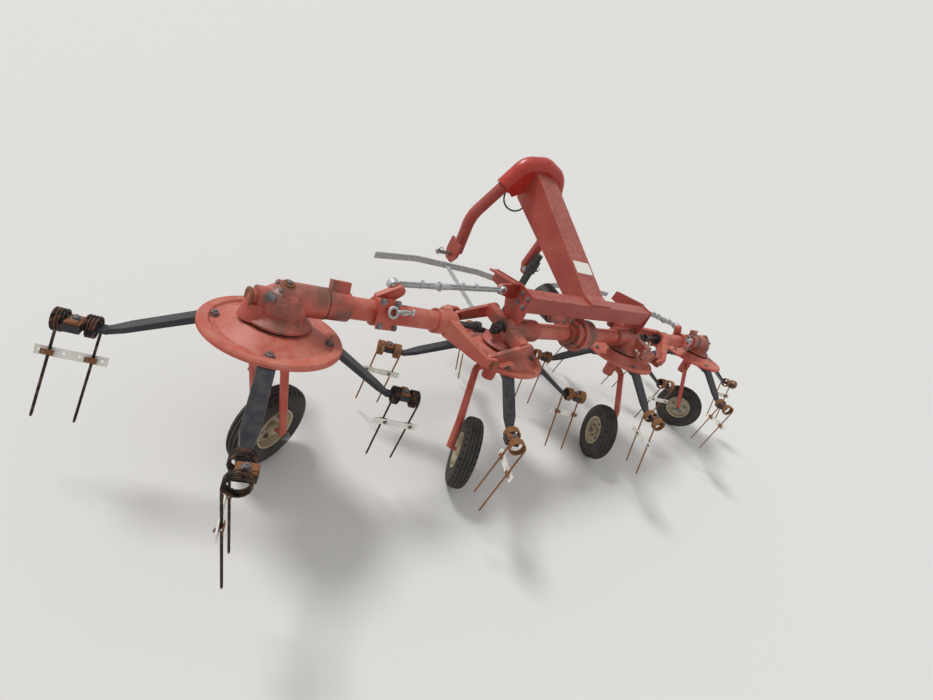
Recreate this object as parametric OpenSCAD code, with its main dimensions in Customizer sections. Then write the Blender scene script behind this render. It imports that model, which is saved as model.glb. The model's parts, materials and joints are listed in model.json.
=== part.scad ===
// Four-rotor mounted hay tedder, parked on its castor wheels and front stand.
// X runs along the machine's width, +Y points to the tractor and +Z is up.
// The floor is z = 0, and all lengths are in millimetres.

/* [Layout] */
// Distance between neighbouring rotor axes
rotor_gap = 1250; // [1100:10:1400]
// Height of the main tube's axis above the floor
tube_z = 805; // [780:5:860]
// Forward lean of the rotor axes
tilt = 10; // [4:1:14]
// Distance of the rotor line behind the middle of the machine's depth
setback = 200.5; // [150:0.5:250]
// Distance of the gearbox to the right of the middle of the machine's width
aside = 27; // [0:1:60]
// Raised angle of the left wing as parked
left_rest = 4.4; // [0:0.2:6]
// Raised angle of the right wing as parked
right_rest = 0; // [0:0.2:6]

/* [Main tube] */
// Outer diameter of the carrying tube
tube_d = 96; // [80:2:110]
// Wall of the carrying tube
tube_wall = 6; // [4:0.5:10]

/* [Wing hinge] */
// Distance from an inner rotor axis to the wing's hinge axis
hinge_out = 225; // [210:5:260]
// Depth of the hinge axis below the tube's axis
hinge_drop = 65; // [50:5:80]
// Distance of the rear and front hinge ears from the tube's axis
hinge_y = 220; // [200:5:260]
// Diameter of the hinge pin
hinge_pin_d = 32; // [24:2:40]
// Distance from the hinge axis to the wing tube's end
socket_gap = 200; // [190:5:240]

/* [Gear housings] */
// Outer diameter of the lying housing barrel
barrel_d = 128; // [110:2:160]
// Diameter of the skirt over the rotor disc
skirt_d = 246; // [230:2:280]
// Diameter of the fixed axle under each housing
axle_d = 50; // [40:2:60]

/* [Rotor] */
// Outer diameter of the rotor disc
disc_d = 528; // [480:4:560]
// Depth of the rotor disc below the tube's axis
disc_drop = 147; // [140:1:170]
// Sheet thickness of the disc
disc_t = 5; // [3:0.5:8]
// Number of tine arms on a rotor
arm_n = 4; // [4:1:6]
// Width of a tine arm
arm_w = 60; // [45:1:70]
// Height of a tine arm
arm_h = 26; // [20:1:34]
// Distance from the rotor axis to the tine coils
coil_r = 600; // [570:5:620]
// Depth of the tine coils below the tube's axis
coil_drop = 305; // [270:5:320]

/* [Tines] */
// Wire diameter of a tine
wire_d = 9.5; // [8:0.5:12]
// Mean diameter of a tine coil
coil_d = 74; // [64:1:84]
// Turns in each coil
coil_turns = 3; // [3:1:4]
// Distance between the two legs of a double tine
leg_gap = 124; // [110:2:140]
// Length of a tine leg
leg_len = 388; // [340:1:400]
// Outward rake of the tine legs
leg_rake = 3; // [0:1:8]
// Lean of the tine legs along the circle
leg_lean = 12; // [0:1:20]
// Length of the white plate across the legs
strip_len = 210; // [180:5:220]

/* [Wheels] */
// Outer diameter of a tyre
tyre_d = 404; // [380:2:420]
// Width of a tyre
tyre_w = 104; // [90:2:120]
// Diameter of the rim at the bead
rim_d = 204; // [190:2:220]
// Trail of the inner castor wheels
trail_in = 310; // [260:5:330]
// Trail of the outer castor wheels
trail_out = 150; // [130:5:200]
// Swivel of the four castors as parked, left to right
castor_turn = [120, -38, -33, 25];

/* [Frame] */
// Height of the cross beam's middle above the floor
beam_z = 992; // [960:2:1020]
// Height of the cross beam's section
beam_h = 100; // [80:2:120]
// Width of the mast box between crown and cross beam
box_w = 200; // [160:10:220]
// Depth of the cross beam's section
beam_w = 90; // [80:2:110]
// Half of the cross beam's length
beam_half = 620; // [600:5:640]
// Distance of the headstock arch in front of the main tube
mast_y = 1000; // [900:10:1060]
// Height of the arch's crown above the floor
crown_z = 1485; // [1440:5:1500]
// Diameter of the arch's crown sleeve
sleeve_d = 120; // [100:2:130]
// Diameter of the arch's legs
leg_d = 82; // [60:2:90]
// Distance between the shoulders of the lower hitch pins
hitch_w = 825; // [800:5:860]
// Height of the lower hitch pins above the floor
hitch_z = 690; // [660:5:720]
// Height from the lower hitch pins to the top link bore
mast_h = 610; // [590:5:640]
// Diameter of the lower hitch pins
hitch_pin_d = 28; // [22:1:30]
// Diameter of the top link bore
top_pin_d = 25.4; // [19:0.1:26]
// Thickness of the plates at the arch's feet
foot_t = 20; // [14:1:26]

/* [Drive] */
// Diameter of the drive input shaft
pto_d = 34.9; // [30:0.1:36]

/* [Hidden] */
$fn = 48;
clear = 0.3;
bend_swell = 1.2;
rotors = [0, 1, 2, 3];
function rotor_x(k) = (k - 1.5) * rotor_gap;
inner_x = rotor_gap / 2;
outer_x = 1.5 * rotor_gap;
hinge_x = inner_x + hinge_out;
hinge_z = tube_z - hinge_drop;
function rest_of(s) = s < 0 ? left_rest : right_rest;
function turn_of(k) = castor_turn[k];
disc_z = -disc_drop;
tyre_r = tyre_d / 2;
disc_lip = 8;
arm_start = 105;
arm_bend = 262;
arm_z = disc_z - disc_lip - 1 - arm_h / 2;
arm_bolt_r = [209, 242];
arm_ring_h = [0, 8];
tail_h = 18;
tail_w = 38;
coil_z = -coil_drop;
arm_tail = coil_r - leg_gap / 2 - 22;
arm_slope = atan((arm_z - coil_z) / (arm_tail - arm_bend));
function hand_of(k) = k % 2 == 0 ? 1 : -1;
first_arm = 250;
saddle_x = 1462;
link_y = 92;
link_eye = [1384, tube_z + 90];
link_foot = [736, tube_z + 190];
eye_face = link_y - 22;
plate_t = 12;
hub_rise = 42;
hub_r = 132;
cone_r = 200;
outer_face = 154;
shank_d = hitch_pin_d - 3;
coil_pitch = wire_d - 0.7;
coil_w = (coil_turns - 1) * coil_pitch + wire_d;

// Cylinder along X from one place to another
module rod_x(x0, x1, d) {
    translate([min(x0, x1), 0, 0]) rotate([0, 90, 0]) cylinder(d = d, h = abs(x1 - x0));
}

// Cylinder along Y from one place to another
module rod_y(y0, y1, d) {
    translate([0, max(y0, y1), 0]) rotate([90, 0, 0]) cylinder(d = d, h = abs(y1 - y0));
}

// Round bar from point a to point b
module bar(a, b, d) {
    v = b - a;
    len = norm(v);
    translate(a)
        rotate([0, acos(v[2] / len), atan2(v[1], v[0])])
            cylinder(d = d, h = len);
}

function unit(v) = v / norm(v);
function turn_angle(p, i) = acos(unit(p[i] - p[i - 1]) * unit(p[i + 1] - p[i]));

// How far before and after corner i of a path its bend of radius r starts
function bend_cut(p, i, r) =
    (i == 0 || i == len(p) - 1) ? 0 : r * tan(turn_angle(p, i) / 2);

// Tube or bar bent at radius r round the corners of a path, a little thicker in its bends
module bent_bar(points, d, r) {
    last = len(points) - 1;
    lap = 3;
    for (i = [0 : last - 1]) {
        way = unit(points[i + 1] - points[i]);
        from = i == 0 ? 0 : bend_cut(points, i, r) - lap;
        to = i + 1 == last ? 0 : bend_cut(points, i + 1, r) - lap;
        bar(points[i] + way * from, points[i + 1] - way * to, d);
    }
    for (i = [1 : 1 : last - 1]) {
        way_in = unit(points[i] - points[i - 1]);
        way_out = unit(points[i + 1] - points[i]);
        side = unit(cross(way_in, way_out));
        inward = cross(side, way_in);
        start = points[i] - way_in * bend_cut(points, i, r);
        middle = start + inward * r;
        multmatrix([[-inward[0], way_in[0], side[0], middle[0]],
                    [-inward[1], way_in[1], side[1], middle[1]],
                    [-inward[2], way_in[2], side[2], middle[2]],
                    [0, 0, 0, 1]])
            rotate_extrude(angle = turn_angle(points, i))
                translate([r, 0]) circle(d = d + bend_swell);
    }
}

// Flat profile drawn in Y and Z, given its thickness along X
module side_plate(x0, x1) {
    translate([min(x0, x1), 0, 0])
        rotate([90, 0, 90])
            linear_extrude(abs(x1 - x0)) children();
}

// Flat profile drawn in X and Z, given its thickness along Y
module back_plate(y0, y1) {
    translate([0, max(y0, y1), 0])
        rotate([90, 0, 0])
            linear_extrude(abs(y1 - y0)) children();
}

// Places the whole machine so that the middles of its width and depth are X = 0 and Y = 0
module on_floor() {
    translate([aside, -setback, 0]) children();
}

// Turns a wing's pieces about its hinge, s = -1 on the left
module at_wing(s) {
    translate([s * hinge_x, 0, hinge_z])
        rotate([0, -s * rest_of(s), 0])
            translate([-s * hinge_x, 0, -hinge_z])
                children();
}

// Direction of a rotor's first arm, half a pitch off its neighbour's where the two circles mesh
function arm_phase(k) = k % 2 == 0 ? first_arm : 180 - first_arm - 180 / arm_n;

// Frame of rotor k: origin on the tube's axis, z along the leaning rotor axis
module rotor_frame(k) {
    translate([rotor_x(k), 0, tube_z]) rotate([-tilt, 0, 0]) children();
}

module at_rotor(k) {
    if (k == 0) at_wing(-1) rotor_frame(k) children();
    else if (k == 3) at_wing(1) rotor_frame(k) children();
    else rotor_frame(k) children();
}

// Bell, skirt and fixed axle under a lying gear housing
module housing_bell(k) {
    axle_end = disc_z - 165;
    base = disc_z + hub_rise + 12;
    dome_r = 92;
    rotate([-tilt, 0, 0]) {
        rotate_extrude()
            polygon(concat([[0, base], [skirt_d / 2, base], [skirt_d / 2, base + 8],
                            [skirt_d / 2 - 22, base + 24]],
                           [for (a = [-12 : 12 : 84]) [dome_r * cos(a), base + 53 + dome_r * sin(a)]],
                           [[0, base + 53 + dome_r]]));
        translate([0, 0, axle_end]) cylinder(d = axle_d, h = -axle_end - 60);
        translate([0, 0, axle_end - 12]) cylinder(d = axle_d + 22, h = 12);
    }
}

module centre_tube() {
    end_x = inner_x - 95;
    color("salmon")
        translate([0, 0, tube_z])
            difference() {
                rod_x(-end_x, end_x, tube_d);
                rod_x(-end_x - 1, end_x + 1, tube_d - 2 * tube_wall);
                rod_x(-90 - clear, 90 + clear, tube_d + 2);
            }
}

// Cast gearbox in the middle of the main tube
module centre_gearbox() {
    color("indianred")
        translate([0, 0, tube_z]) {
            rod_x(-90, 90, 190);
            for (s = [-1, 1])
                difference() {
                    rod_x(s * 88, s * 126, 136);
                    rod_x(s * 90, s * 127, tube_d + 2 * clear);
                }
            rod_y(60, 215, 130);
            rod_y(205, 225, 160);
        }
}

// Inner gear housing with the fixed half of the wing's hinge
module inner_housing(s) {
    ear_t = 20;
    ear_y = hinge_y - 30;
    color("salmon")
        translate([s * inner_x, 0, tube_z]) {
            difference() {
                union() {
                    rod_x(-s * 95, s * 66, barrel_d);
                    rod_x(-s * 195, -s * 90, tube_d + 34);
                }
                rod_x(-s * 94.7, -s * 196, tube_d + 2 * clear);
            }
            housing_bell(0);
            for (side = [-1, 1])
                difference() {
                    union() {
                        back_plate(side * (ear_y - ear_t), side * ear_y)
                            hull() {
                                translate([s * hinge_out, -hinge_drop]) circle(d = 62);
                                circle(d = 86);
                            }
                        translate([s * 30, side * (ear_y - ear_t) / 2, 10])
                            cube([70, ear_y - ear_t, 60], center = true);
                    }
                    translate([s * hinge_out, 0, -hinge_drop])
                        rod_y(-ear_y - 1, ear_y + 1, hinge_pin_d + 2 * clear);
                }
        }
}

module cross_beam() {
    wall = 6;
    color("firebrick")
        translate([0, 20, beam_z])
            difference() {
                cube([2 * beam_half, beam_w, beam_h], center = true);
                cube([2 * beam_half + 2, beam_w - 2 * wall, beam_h - 2 * wall], center = true);
            }
}

// Bell-crank plates that join the cross beam to the inner housings
module end_plates() {
    top = beam_z + beam_h / 2 + 8;
    color("firebrick")
        for (s = [-1, 1]) {
            difference() {
                side_plate(s * (beam_half + clear), s * (beam_half + plate_t))
                    polygon([[-25, top], [95, top], [305, top - 50], [305, top - 120],
                             [150, top - 115], [100, top - 190], [82, tube_z + 42],
                             [-30, tube_z + 42], [-45, top - 150]]);
                translate([0, 0, tube_z])
                    rod_x(s * (beam_half - 1), s * (beam_half + 90), barrel_d + 2 * clear);
            }
            translate([s * (beam_half + plate_t + 24), 200, top - 35])
                rotate([-13.4, 0, 0])
                    cube([50, 225, 10], center = true);
            back_plate(link_y + 8 + clear, link_y + 24)
                polygon([[s * (beam_half + plate_t - 2), top - 110], [s * (beam_half + plate_t - 2), top - 10],
                         [s * (link_foot[0] + 10), link_foot[1] + 26], [s * (link_foot[0] + 26), link_foot[1] + 10],
                         [s * (link_foot[0] + 26), link_foot[1] - 18], [s * (link_foot[0] + 14), link_foot[1] - 30]]);
            translate([s * link_foot[0], 0, link_foot[1]])
                rod_y(link_y - 14, link_y + 9, 20);
        }
}

// Tapered box from the arch's crown down to the cross beam
module mast_box() {
    low = beam_z + beam_h / 2 + clear;
    front = 65 + clear;
    color("firebrick")
        difference() {
            side_plate(-box_w / 2, box_w / 2)
                polygon([[-22, low], [-22, low + 10], [front, low + 22], [mast_y - 45, crown_z - 39],
                         [mast_y, crown_z - 75], [mast_y, crown_z - 259], [175, low - 87],
                         [front, low - 115], [front, low]]);
            side_plate(-box_w / 2 + 7, box_w / 2 - 7)
                polygon([[front + 20, low + 8], [mast_y - 52, crown_z - 62], [mast_y + 1, crown_z - 100],
                         [mast_y + 1, crown_z - 250], [175, low - 78], [front + 20, low - 100]]);
            bent_bar(sleeve_path, sleeve_d + 2 * clear, 130);
        }
}

// Middle line of the crown sleeve, from left to right
sleeve_path = [[-262, mast_y, crown_z - 225], [-165, mast_y, crown_z - 42],
    [0, mast_y, crown_z], [165, mast_y, crown_z - 42], [262, mast_y, crown_z - 225]];

// Middle line of one leg of the arch, from the sleeve's end to the foot plate
function leg_path(s) = let (way = unit([s * 97, 0, -183]))
    [[s * 262, mast_y, crown_z - 225] + clear * way, [s * 262, mast_y, crown_z - 225] + 292 * way,
     [s * (hitch_w / 2 - foot_t - leg_d / 2 + 14), mast_y, hitch_z + 30]];

// Thick curved sleeve at the top of the arch with the top link clevis
module mast_sleeve() {
    bore_z = hitch_z + mast_h;
    ear_y = mast_y + 135;
    color("red")
        difference() {
            union() {
                bent_bar(sleeve_path, sleeve_d, 130);
                for (s = [-1, 1])
                    back_plate(mast_y - 56, mast_y - 44)
                        polygon([[s * 255, crown_z - 222], [s * 165, crown_z - 50],
                                 [s * (box_w / 2 + clear), crown_z - 16],
                                 [s * (box_w / 2 + clear), crown_z - 195], [s * 196, crown_z - 256]]);
                for (s = [-1, 1])
                    side_plate(s * 28, s * 42)
                        polygon([[mast_y + 6, crown_z - 30], [mast_y + 40, crown_z + 20],
                                 [ear_y + 38, bore_z + 10], [ear_y + 26, bore_z - 30],
                                 [ear_y - 20, bore_z - 38], [mast_y + 26, crown_z - 110]]);
            }
            translate([0, ear_y, bore_z]) rod_x(-60, 60, top_pin_d);
        }
}

// Splayed legs of the arch and the plates that hold the lower hitch pins
module headstock_legs() {
    color("indianred")
        for (s = [-1, 1])
            difference() {
                union() {
                    bent_bar(leg_path(s), leg_d, 220);
                    side_plate(s * (hitch_w / 2 - foot_t), s * hitch_w / 2)
                        polygon([[mast_y - 70, hitch_z + 110], [mast_y + 70, hitch_z + 110],
                                 [mast_y + 70, hitch_z + 10], [mast_y + 35, hitch_z - 50],
                                 [mast_y - 35, hitch_z - 50], [mast_y - 70, hitch_z + 10]]);
                }
                translate([0, mast_y, hitch_z])
                    rod_x(s * (hitch_w / 2 - 90), s * (hitch_w / 2 + 1), shank_d + 2 * clear);
            }
}

module hitch_pins() {
    color("silver")
        for (s = [-1, 1])
            translate([0, mast_y, hitch_z]) {
                rod_x(s * (hitch_w / 2 + clear), s * (hitch_w / 2 + 125), hitch_pin_d);
                rod_x(s * (hitch_w / 2 - foot_t - 2), s * (hitch_w / 2 + 1), shank_d);
                rod_x(s * (hitch_w / 2 - foot_t - 14), s * (hitch_w / 2 - foot_t - clear), hitch_pin_d + 18);
            }
}

// Parking stand: sleeve on the right foot, sliding tube and foot plate
module parking_stand() {
    x = hitch_w / 2 - 62;
    y = mast_y - 92;
    color("dimgray") {
        translate([x - 22, y - 22, 8]) cube([44, 44, hitch_z + 180]);
        translate([x - 75, y - 75, 0]) cube([150, 150, 8]);
        translate([x - 30, y - 30, hitch_z + 20]) cube([60, 60, 110]);
        translate([x, y + 26, hitch_z + 40]) cube([62 - foot_t - clear, 20, 60]);
    }
}

// Galvanised bent guard bars ahead of the inner rotors
module front_guards() {
    guard_z = tube_z - 70;
    bar_h = 40;
    bar_t = 8;
    ear_face = hinge_y - 30 + clear;
    color("lightgray")
        for (s = [-1, 1]) {
            translate([0, 0, guard_z])
                linear_extrude(bar_h)
                    polygon([[s * 259, 629], [s * 398, 679], [s * 874, 721], [s * 1179, 679],
                             [s * 1179, 679 - bar_t], [s * 874, 721 - bar_t], [s * 398, 679 - bar_t],
                             [s * 259, 629 - bar_t]]);
            translate([0, 0, guard_z + 17])
                linear_extrude(bar_t)
                    polygon([[s * 635, 695], [s * 665, 697], [s * 735, ear_face], [s * 705, ear_face]]);
        }
}

module pto_guard() {
    color("black")
        translate([0, 0, tube_z])
            difference() {
                union() {
                    rod_y(225 + clear, 240, 190);
                    translate([0, 240, 0]) rotate([-90, 0, 0]) cylinder(d1 = 190, d2 = 210, h = 170);
                }
                translate([0, 240, 0]) rotate([-90, 0, 0]) cylinder(d1 = 178, d2 = 198, h = 171);
                rod_y(220, 250, 80);
            }
}

module pto_shaft() {
    color("silver")
        translate([0, 0, tube_z]) {
            rod_y(225 + clear, 340, pto_d);
            rod_y(225 + clear, 243, 60);
        }
}

// Galvanised turnbuckle link from the wing's saddle to the end plate
module lock_link(s) {
    eye = [s * link_eye[0], link_y, link_eye[1]];
    foot = [s * link_foot[0], link_y, link_foot[1]];
    dir = unit(foot - eye);
    color("lightgray")
        translate([s * link_foot[0], 0, link_foot[1]])
            rotate([0, -s * rest_of(s), 0])
                translate([-s * link_foot[0], 0, -link_foot[1]]) {
                    translate([eye[0], 0, eye[2]])
                        difference() {
                            rod_y(eye_face, link_y + 9, 56);
                            rod_y(eye_face - 1, link_y + 10, 28);
                        }
                    bar(eye + 24 * dir, foot - 18 * dir, 16);
                    bar(eye + 205 * dir, eye + 295 * dir, 32);
                    for (a = [150, 385, 470])
                        translate([0, 0, -16]) translate(eye + a * dir) cylinder(d = 14, h = 36);
                    translate(foot)
                        difference() {
                            rod_y(-8, 8, 44);
                            rod_y(-9, 9, 20 + 2 * clear);
                        }
                }
}

module wing_tube(s) {
    color("salmon")
        at_wing(s)
            translate([0, 0, tube_z])
                difference() {
                    rod_x(s * (hinge_x + socket_gap), s * (outer_x - outer_face - clear), tube_d);
                    rod_x(s * (hinge_x + socket_gap - 1), s * (outer_x - outer_face + 1), tube_d - 2 * tube_wall);
                }
}

// Moving half of the wing's hinge: socket on the tube with two flared ears
module hinge_fork(s) {
    ear_t = 20;
    color("salmon")
        at_wing(s)
            translate([s * hinge_x, 0, hinge_z])
                difference() {
                    union() {
                        translate([0, 0, hinge_drop])
                            rod_x(s * socket_gap, s * (socket_gap + 110), tube_d + 26);
                        for (side = [-1, 1]) {
                            hull() {
                                translate([s * (socket_gap + 30), side * 45, hinge_drop])
                                    cube([60, 30, 90], center = true);
                                translate([s * 60, side * (hinge_y - ear_t / 2), 8])
                                    cube([30, ear_t, 50], center = true);
                            }
                            back_plate(side * (hinge_y - ear_t), side * hinge_y)
                                hull() {
                                    circle(d = 62);
                                    translate([s * 60, 8]) square([30, 50], center = true);
                                }
                            rod_y(side * (hinge_y - ear_t - 10 + clear), side * (hinge_y + 14), hinge_pin_d);
                        }
                    }
                    translate([0, 0, hinge_drop])
                        rod_x(s * (socket_gap - clear), s * (socket_gap + 111), tube_d + 2 * clear);
                }
}

module outer_housing(s) {
    color("salmon")
        at_wing(s)
            translate([s * outer_x, 0, tube_z]) {
                rod_x(-s * outer_face, s * 30, barrel_d);
                difference() {
                    union() {
                        rod_x(-s * (outer_face + 98), -s * (outer_face - 1), tube_d + 28);
                        translate([-s * (outer_face + 52), 26, 60])
                            rotate([-26, 0, 0]) cube([78, 34, 72], center = true);
                    }
                    rod_x(-s * outer_face, -s * (outer_face + 99), tube_d + 2 * clear);
                }
                translate([0, 0, -20]) {
                    rod_x(s * 24, s * 100, 96);
                    rod_x(s * 99, s * 124, 62);
                }
                rotate([-tilt, 0, 0])
                    translate([s * 88, 0, disc_z + hub_rise + 12])
                        cylinder(d1 = 118, d2 = 90, h = 62);
                housing_bell(0);
            }
}

// Clamp on the wing tube with its slanting cover plate, ring and link lug
module saddle_clamp(s) {
    lug = [-s * (saddle_x - link_eye[0]), link_eye[1] - tube_z];
    color("salmon")
        at_wing(s)
            translate([s * saddle_x, 0, tube_z])
                difference() {
                    union() {
                        rod_x(-38, 38, tube_d + 28);
                        rotate([61, 0, 0]) {
                            translate([-42, -50, 30]) cube([84, 100, 34]);
                            translate([-50, -66, 62]) cube([100, 132, 12]);
                            translate([-s * 10, 15, 72]) cylinder(d = 56, h = 14);
                        }
                        back_plate(44, eye_face - clear)
                            hull() {
                                translate(lug) circle(d = 56);
                                translate([-20, -10]) square([40, 60]);
                            }
                    }
                    rod_x(-100, 100, tube_d + 2 * clear);
                    rotate([61, 0, 0]) translate([-s * 10, 15, 77]) cylinder(d = 32, h = 20);
                }
}

// Dished rotor disc with its raised rim band and hub
module rotor_disc(k) {
    r = disc_d / 2;
    hub_bore = axle_d / 2 + clear;
    color("salmon")
        at_rotor(k)
            translate([0, 0, disc_z])
                rotate_extrude()
                    polygon([[hub_bore, hub_rise], [hub_r, hub_rise], [cone_r, disc_t], [r - 44, disc_t],
                             [r - 36, disc_t + 8], [r - 6, disc_t + 8], [r, disc_t],
                             [r, -disc_lip], [r - 4, -disc_lip], [r - 4, disc_t - 4], [r - 8, disc_t + 3],
                             [r - 34, disc_t + 3], [r - 42, 0], [cone_r - 3, 0],
                             [hub_r - 3, hub_rise - disc_t], [92, hub_rise - disc_t], [92, -34],
                             [hub_bore, -34]]);
}

// Side view of an arm: level under the disc, sloping down, then level again as its tail
module arm_profile() {
    h = arm_h / 2;
    tail = tail_h / 2;
    mitre = h * tan(arm_slope / 2);
    polygon([[arm_start, arm_z - h], [arm_bend - mitre, arm_z - h],
             [arm_tail - 6, coil_z - tail], [coil_r + 14, coil_z - tail], [coil_r + 14, coil_z + tail],
             [arm_tail, coil_z + tail], [arm_bend + mitre, arm_z + h], [arm_start, arm_z + h]]);
}

// Outline of an arm from above, narrower where its tail passes through the inner coil
module arm_outline() {
    polygon([[arm_start, -arm_w / 2], [arm_tail - 60, -arm_w / 2], [arm_tail - 14, -tail_w / 2],
             [coil_r + 14, -tail_w / 2], [coil_r + 14, tail_w / 2], [arm_tail - 14, tail_w / 2],
             [arm_tail - 60, arm_w / 2], [arm_start, arm_w / 2]]);
}

// Flat arms bolted under the disc, with a distance ring at each bolt and a clamp for the tine
module tine_arms(k) {
    hand = hand_of(k);
    grip = coil_d / 2 + wire_d / 2 + 7;
    color("midnightblue")
        at_rotor(k)
            for (i = [0 : arm_n - 1])
                rotate([0, 0, arm_phase(k) + i * 360 / arm_n]) {
                    intersection() {
                        back_plate(-arm_w / 2 - 1, arm_w / 2 + 1) arm_profile();
                        translate([0, 0, coil_z - 40]) linear_extrude(arm_z - coil_z + 80) arm_outline();
                    }
                    for (j = [0, 1])
                        translate([arm_bolt_r[j], 0, arm_z])
                            cylinder(d = 24, h = disc_z + arm_ring_h[j] - clear - arm_z);
                    difference() {
                        translate([coil_r - 24, hand > 0 ? -19 : -grip, coil_z - 14])
                            cube([48, grip + 19, 28]);
                        translate([coil_r, hand * coil_d / 2, coil_z])
                            rod_x(-25, 25, wire_d + 2 * clear);
                    }
                }
}

// Outline of a wound coil that is turned about its axis
module coil_profile() {
    for (t = [0 : coil_turns - 1])
        translate([coil_d / 2, t * coil_pitch]) circle(d = wire_d);
    translate([coil_d / 2 - 2, 0]) square([4, coil_w - wire_d]);
}

// Double spring tines, wound about a bar that lies along the arm, with their cross strips
module tines(k) {
    hand = hand_of(k);
    color("saddlebrown")
        at_rotor(k)
            for (i = [0 : arm_n - 1])
                rotate([0, 0, arm_phase(k) + i * 360 / arm_n])
                    translate([coil_r, 0, coil_z]) {
                        for (side = [-1, 1])
                            translate([side * leg_gap / 2, 0, 0])
                                rotate([0, -side * 90, 0])
                                    rotate_extrude() coil_profile();
                        translate([0, hand * coil_d / 2, 0])
                            rod_x(coil_w - wire_d - leg_gap / 2, leg_gap / 2 - coil_w + wire_d, wire_d - 0.8);
                        rotate([hand * leg_lean, 0, 0]) {
                            for (side = [-1, 1])
                                translate([side * leg_gap / 2, -hand * coil_d / 2, 0])
                                    rotate([0, 180 - leg_rake, 0])
                                        cylinder(d = wire_d - 0.8, h = leg_len);
                            translate([-strip_len / 2 + 6, -hand * coil_d / 2 - 3, -128])
                                cube([strip_len, 6, 32]);
                        }
                    }
}

// Frame of a castor: z along the rotor axis, y against the trail
module castor_frame(k) {
    at_rotor(k) rotate([0, 0, turn_of(k)]) children();
}

function trail_of(k) = (k == 0 || k == 3) ? trail_out : trail_in;

// Turn of a rotor's frame about Y with its wing
function wing_turn(k) = k == 0 ? left_rest : k == 3 ? -right_rest : 0;

// Height of a rotor frame's origin above the floor
function origin_z(k) = (k == 0 || k == 3)
    ? hinge_z + (outer_x - hinge_x) * sin(abs(wing_turn(k))) + hinge_drop * cos(wing_turn(k))
    : tube_z;

// A vector swivelled with castor k, and the upright part of a rotor frame's vector
function swivelled(k, v) = let (a = turn_of(k))
    [v[0] * cos(a) - v[1] * sin(a), v[0] * sin(a) + v[1] * cos(a), v[2]];
function up_part(k, v) = let (b = wing_turn(k))
    -v[0] * sin(b) + (-v[1] * sin(tilt) + v[2] * cos(tilt)) * cos(b);

// Height of a hub in the rotor's frame at which the leaning tyre touches the floor
function wheel_lean(k) = asin(up_part(k, swivelled(k, [1, 0, 0])));
function hub_height(k) = (tyre_r - tyre_w / 2) * cos(wheel_lean(k)) + tyre_w / 2;
function hub_z(k) = (hub_height(k) - origin_z(k)
    - up_part(k, swivelled(k, [0, -trail_of(k), 0]))) / up_part(k, [0, 0, 1]);

module castor_leg(k) {
    s = k < 2 ? -1 : 1;
    leg_top = disc_z - 105;
    side_x = tyre_w / 2 + 34;
    color("red")
        castor_frame(k) {
            difference() {
                union() {
                    translate([0, 0, disc_z - 164.7]) cylinder(d = axle_d + 30, h = 120);
                    if (k == 1 || k == 2)
                        bent_bar([[s * 30, 0, leg_top], [s * side_x, -30, leg_top - 20],
                                  [s * side_x, -trail_of(k) + 60, hub_z(k) + 170],
                                  [s * side_x, -trail_of(k), hub_z(k)]], 42, 45);
                    else
                        for (e = [-1, 1])
                            bent_bar([[e * 30, 0, leg_top], [e * side_x, -10, leg_top - 10],
                                      [e * side_x, -trail_of(k), hub_z(k)]], 34, 30);
                }
                translate([0, 0, disc_z - 170]) cylinder(d = axle_d + 2 * clear, h = 160);
            }
            translate([0, -trail_of(k), hub_z(k)])
                if (k == 1 || k == 2) rod_x(s * -60, s * side_x, 20);
                else rod_x(-side_x, side_x, 20);
        }
}

module wheel_frame(k) {
    castor_frame(k)
        translate([0, -trail_of(k), hub_z(k)])
            rotate([0, 90, 0])
                children();
}

module tyre(k) {
    w = tyre_w / 2;
    r_in = rim_d / 2 + clear;
    color("dimgray")
        wheel_frame(k)
            rotate_extrude($fn = 72)
                difference() {
                    union() {
                        translate([tyre_r - w, 0]) circle(d = tyre_w);
                        translate([r_in, -w + 14]) square([tyre_r - w - r_in + 4, tyre_w - 28]);
                    }
                    translate([-1, -w - 1]) square([r_in + 1, tyre_w + 2]);
                }
}

module rim(k) {
    w = tyre_w / 2;
    r = rim_d / 2;
    color("ivory")
        wheel_frame(k)
            rotate_extrude($fn = 72)
                polygon([[10 + clear, -45], [24, -45], [24, -10], [r - 14, -10], [r - 8, -w + 8],
                         [r, -w + 8], [r, w - 8], [r - 8, w - 8], [r - 14, 10], [24, 10],
                         [24, 45], [10 + clear, 45]]);
}

on_floor() {
    centre_tube();
    centre_gearbox();
    inner_housing(-1);  // inner_housing_left
    inner_housing(1);  // inner_housing_right
    cross_beam();
    end_plates();
    mast_box();
    mast_sleeve();
    headstock_legs();
    hitch_pins();
    parking_stand();
    front_guards();
    pto_guard();
    pto_shaft();
    lock_link(-1);  // lock_link_left
    lock_link(1);  // lock_link_right
    wing_tube(-1);  // wing_tube_left
    wing_tube(1);  // wing_tube_right
    hinge_fork(-1);  // hinge_fork_left
    hinge_fork(1);  // hinge_fork_right
    outer_housing(-1);  // outer_housing_left
    outer_housing(1);  // outer_housing_right
    saddle_clamp(-1);  // saddle_clamp_left
    saddle_clamp(1);  // saddle_clamp_right
    for (k = rotors) {
        rotor_disc(k);
        tine_arms(k);
        tines(k);
        castor_leg(k);
        tyre(k);
        rim(k);
    }
}
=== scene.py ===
# %% [markdown]
# A hay tedder is a wide frame with four spinning rotors. Steel tines on each rotor throw mown grass into
# the air so that it dries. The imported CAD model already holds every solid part, so this scene adds what a
# camera sees: wound spring tines, worn paint, bolts, welds and tread.

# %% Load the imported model
import json
import math

import bmesh
import bpy
from mathutils import Matrix, Vector


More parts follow.
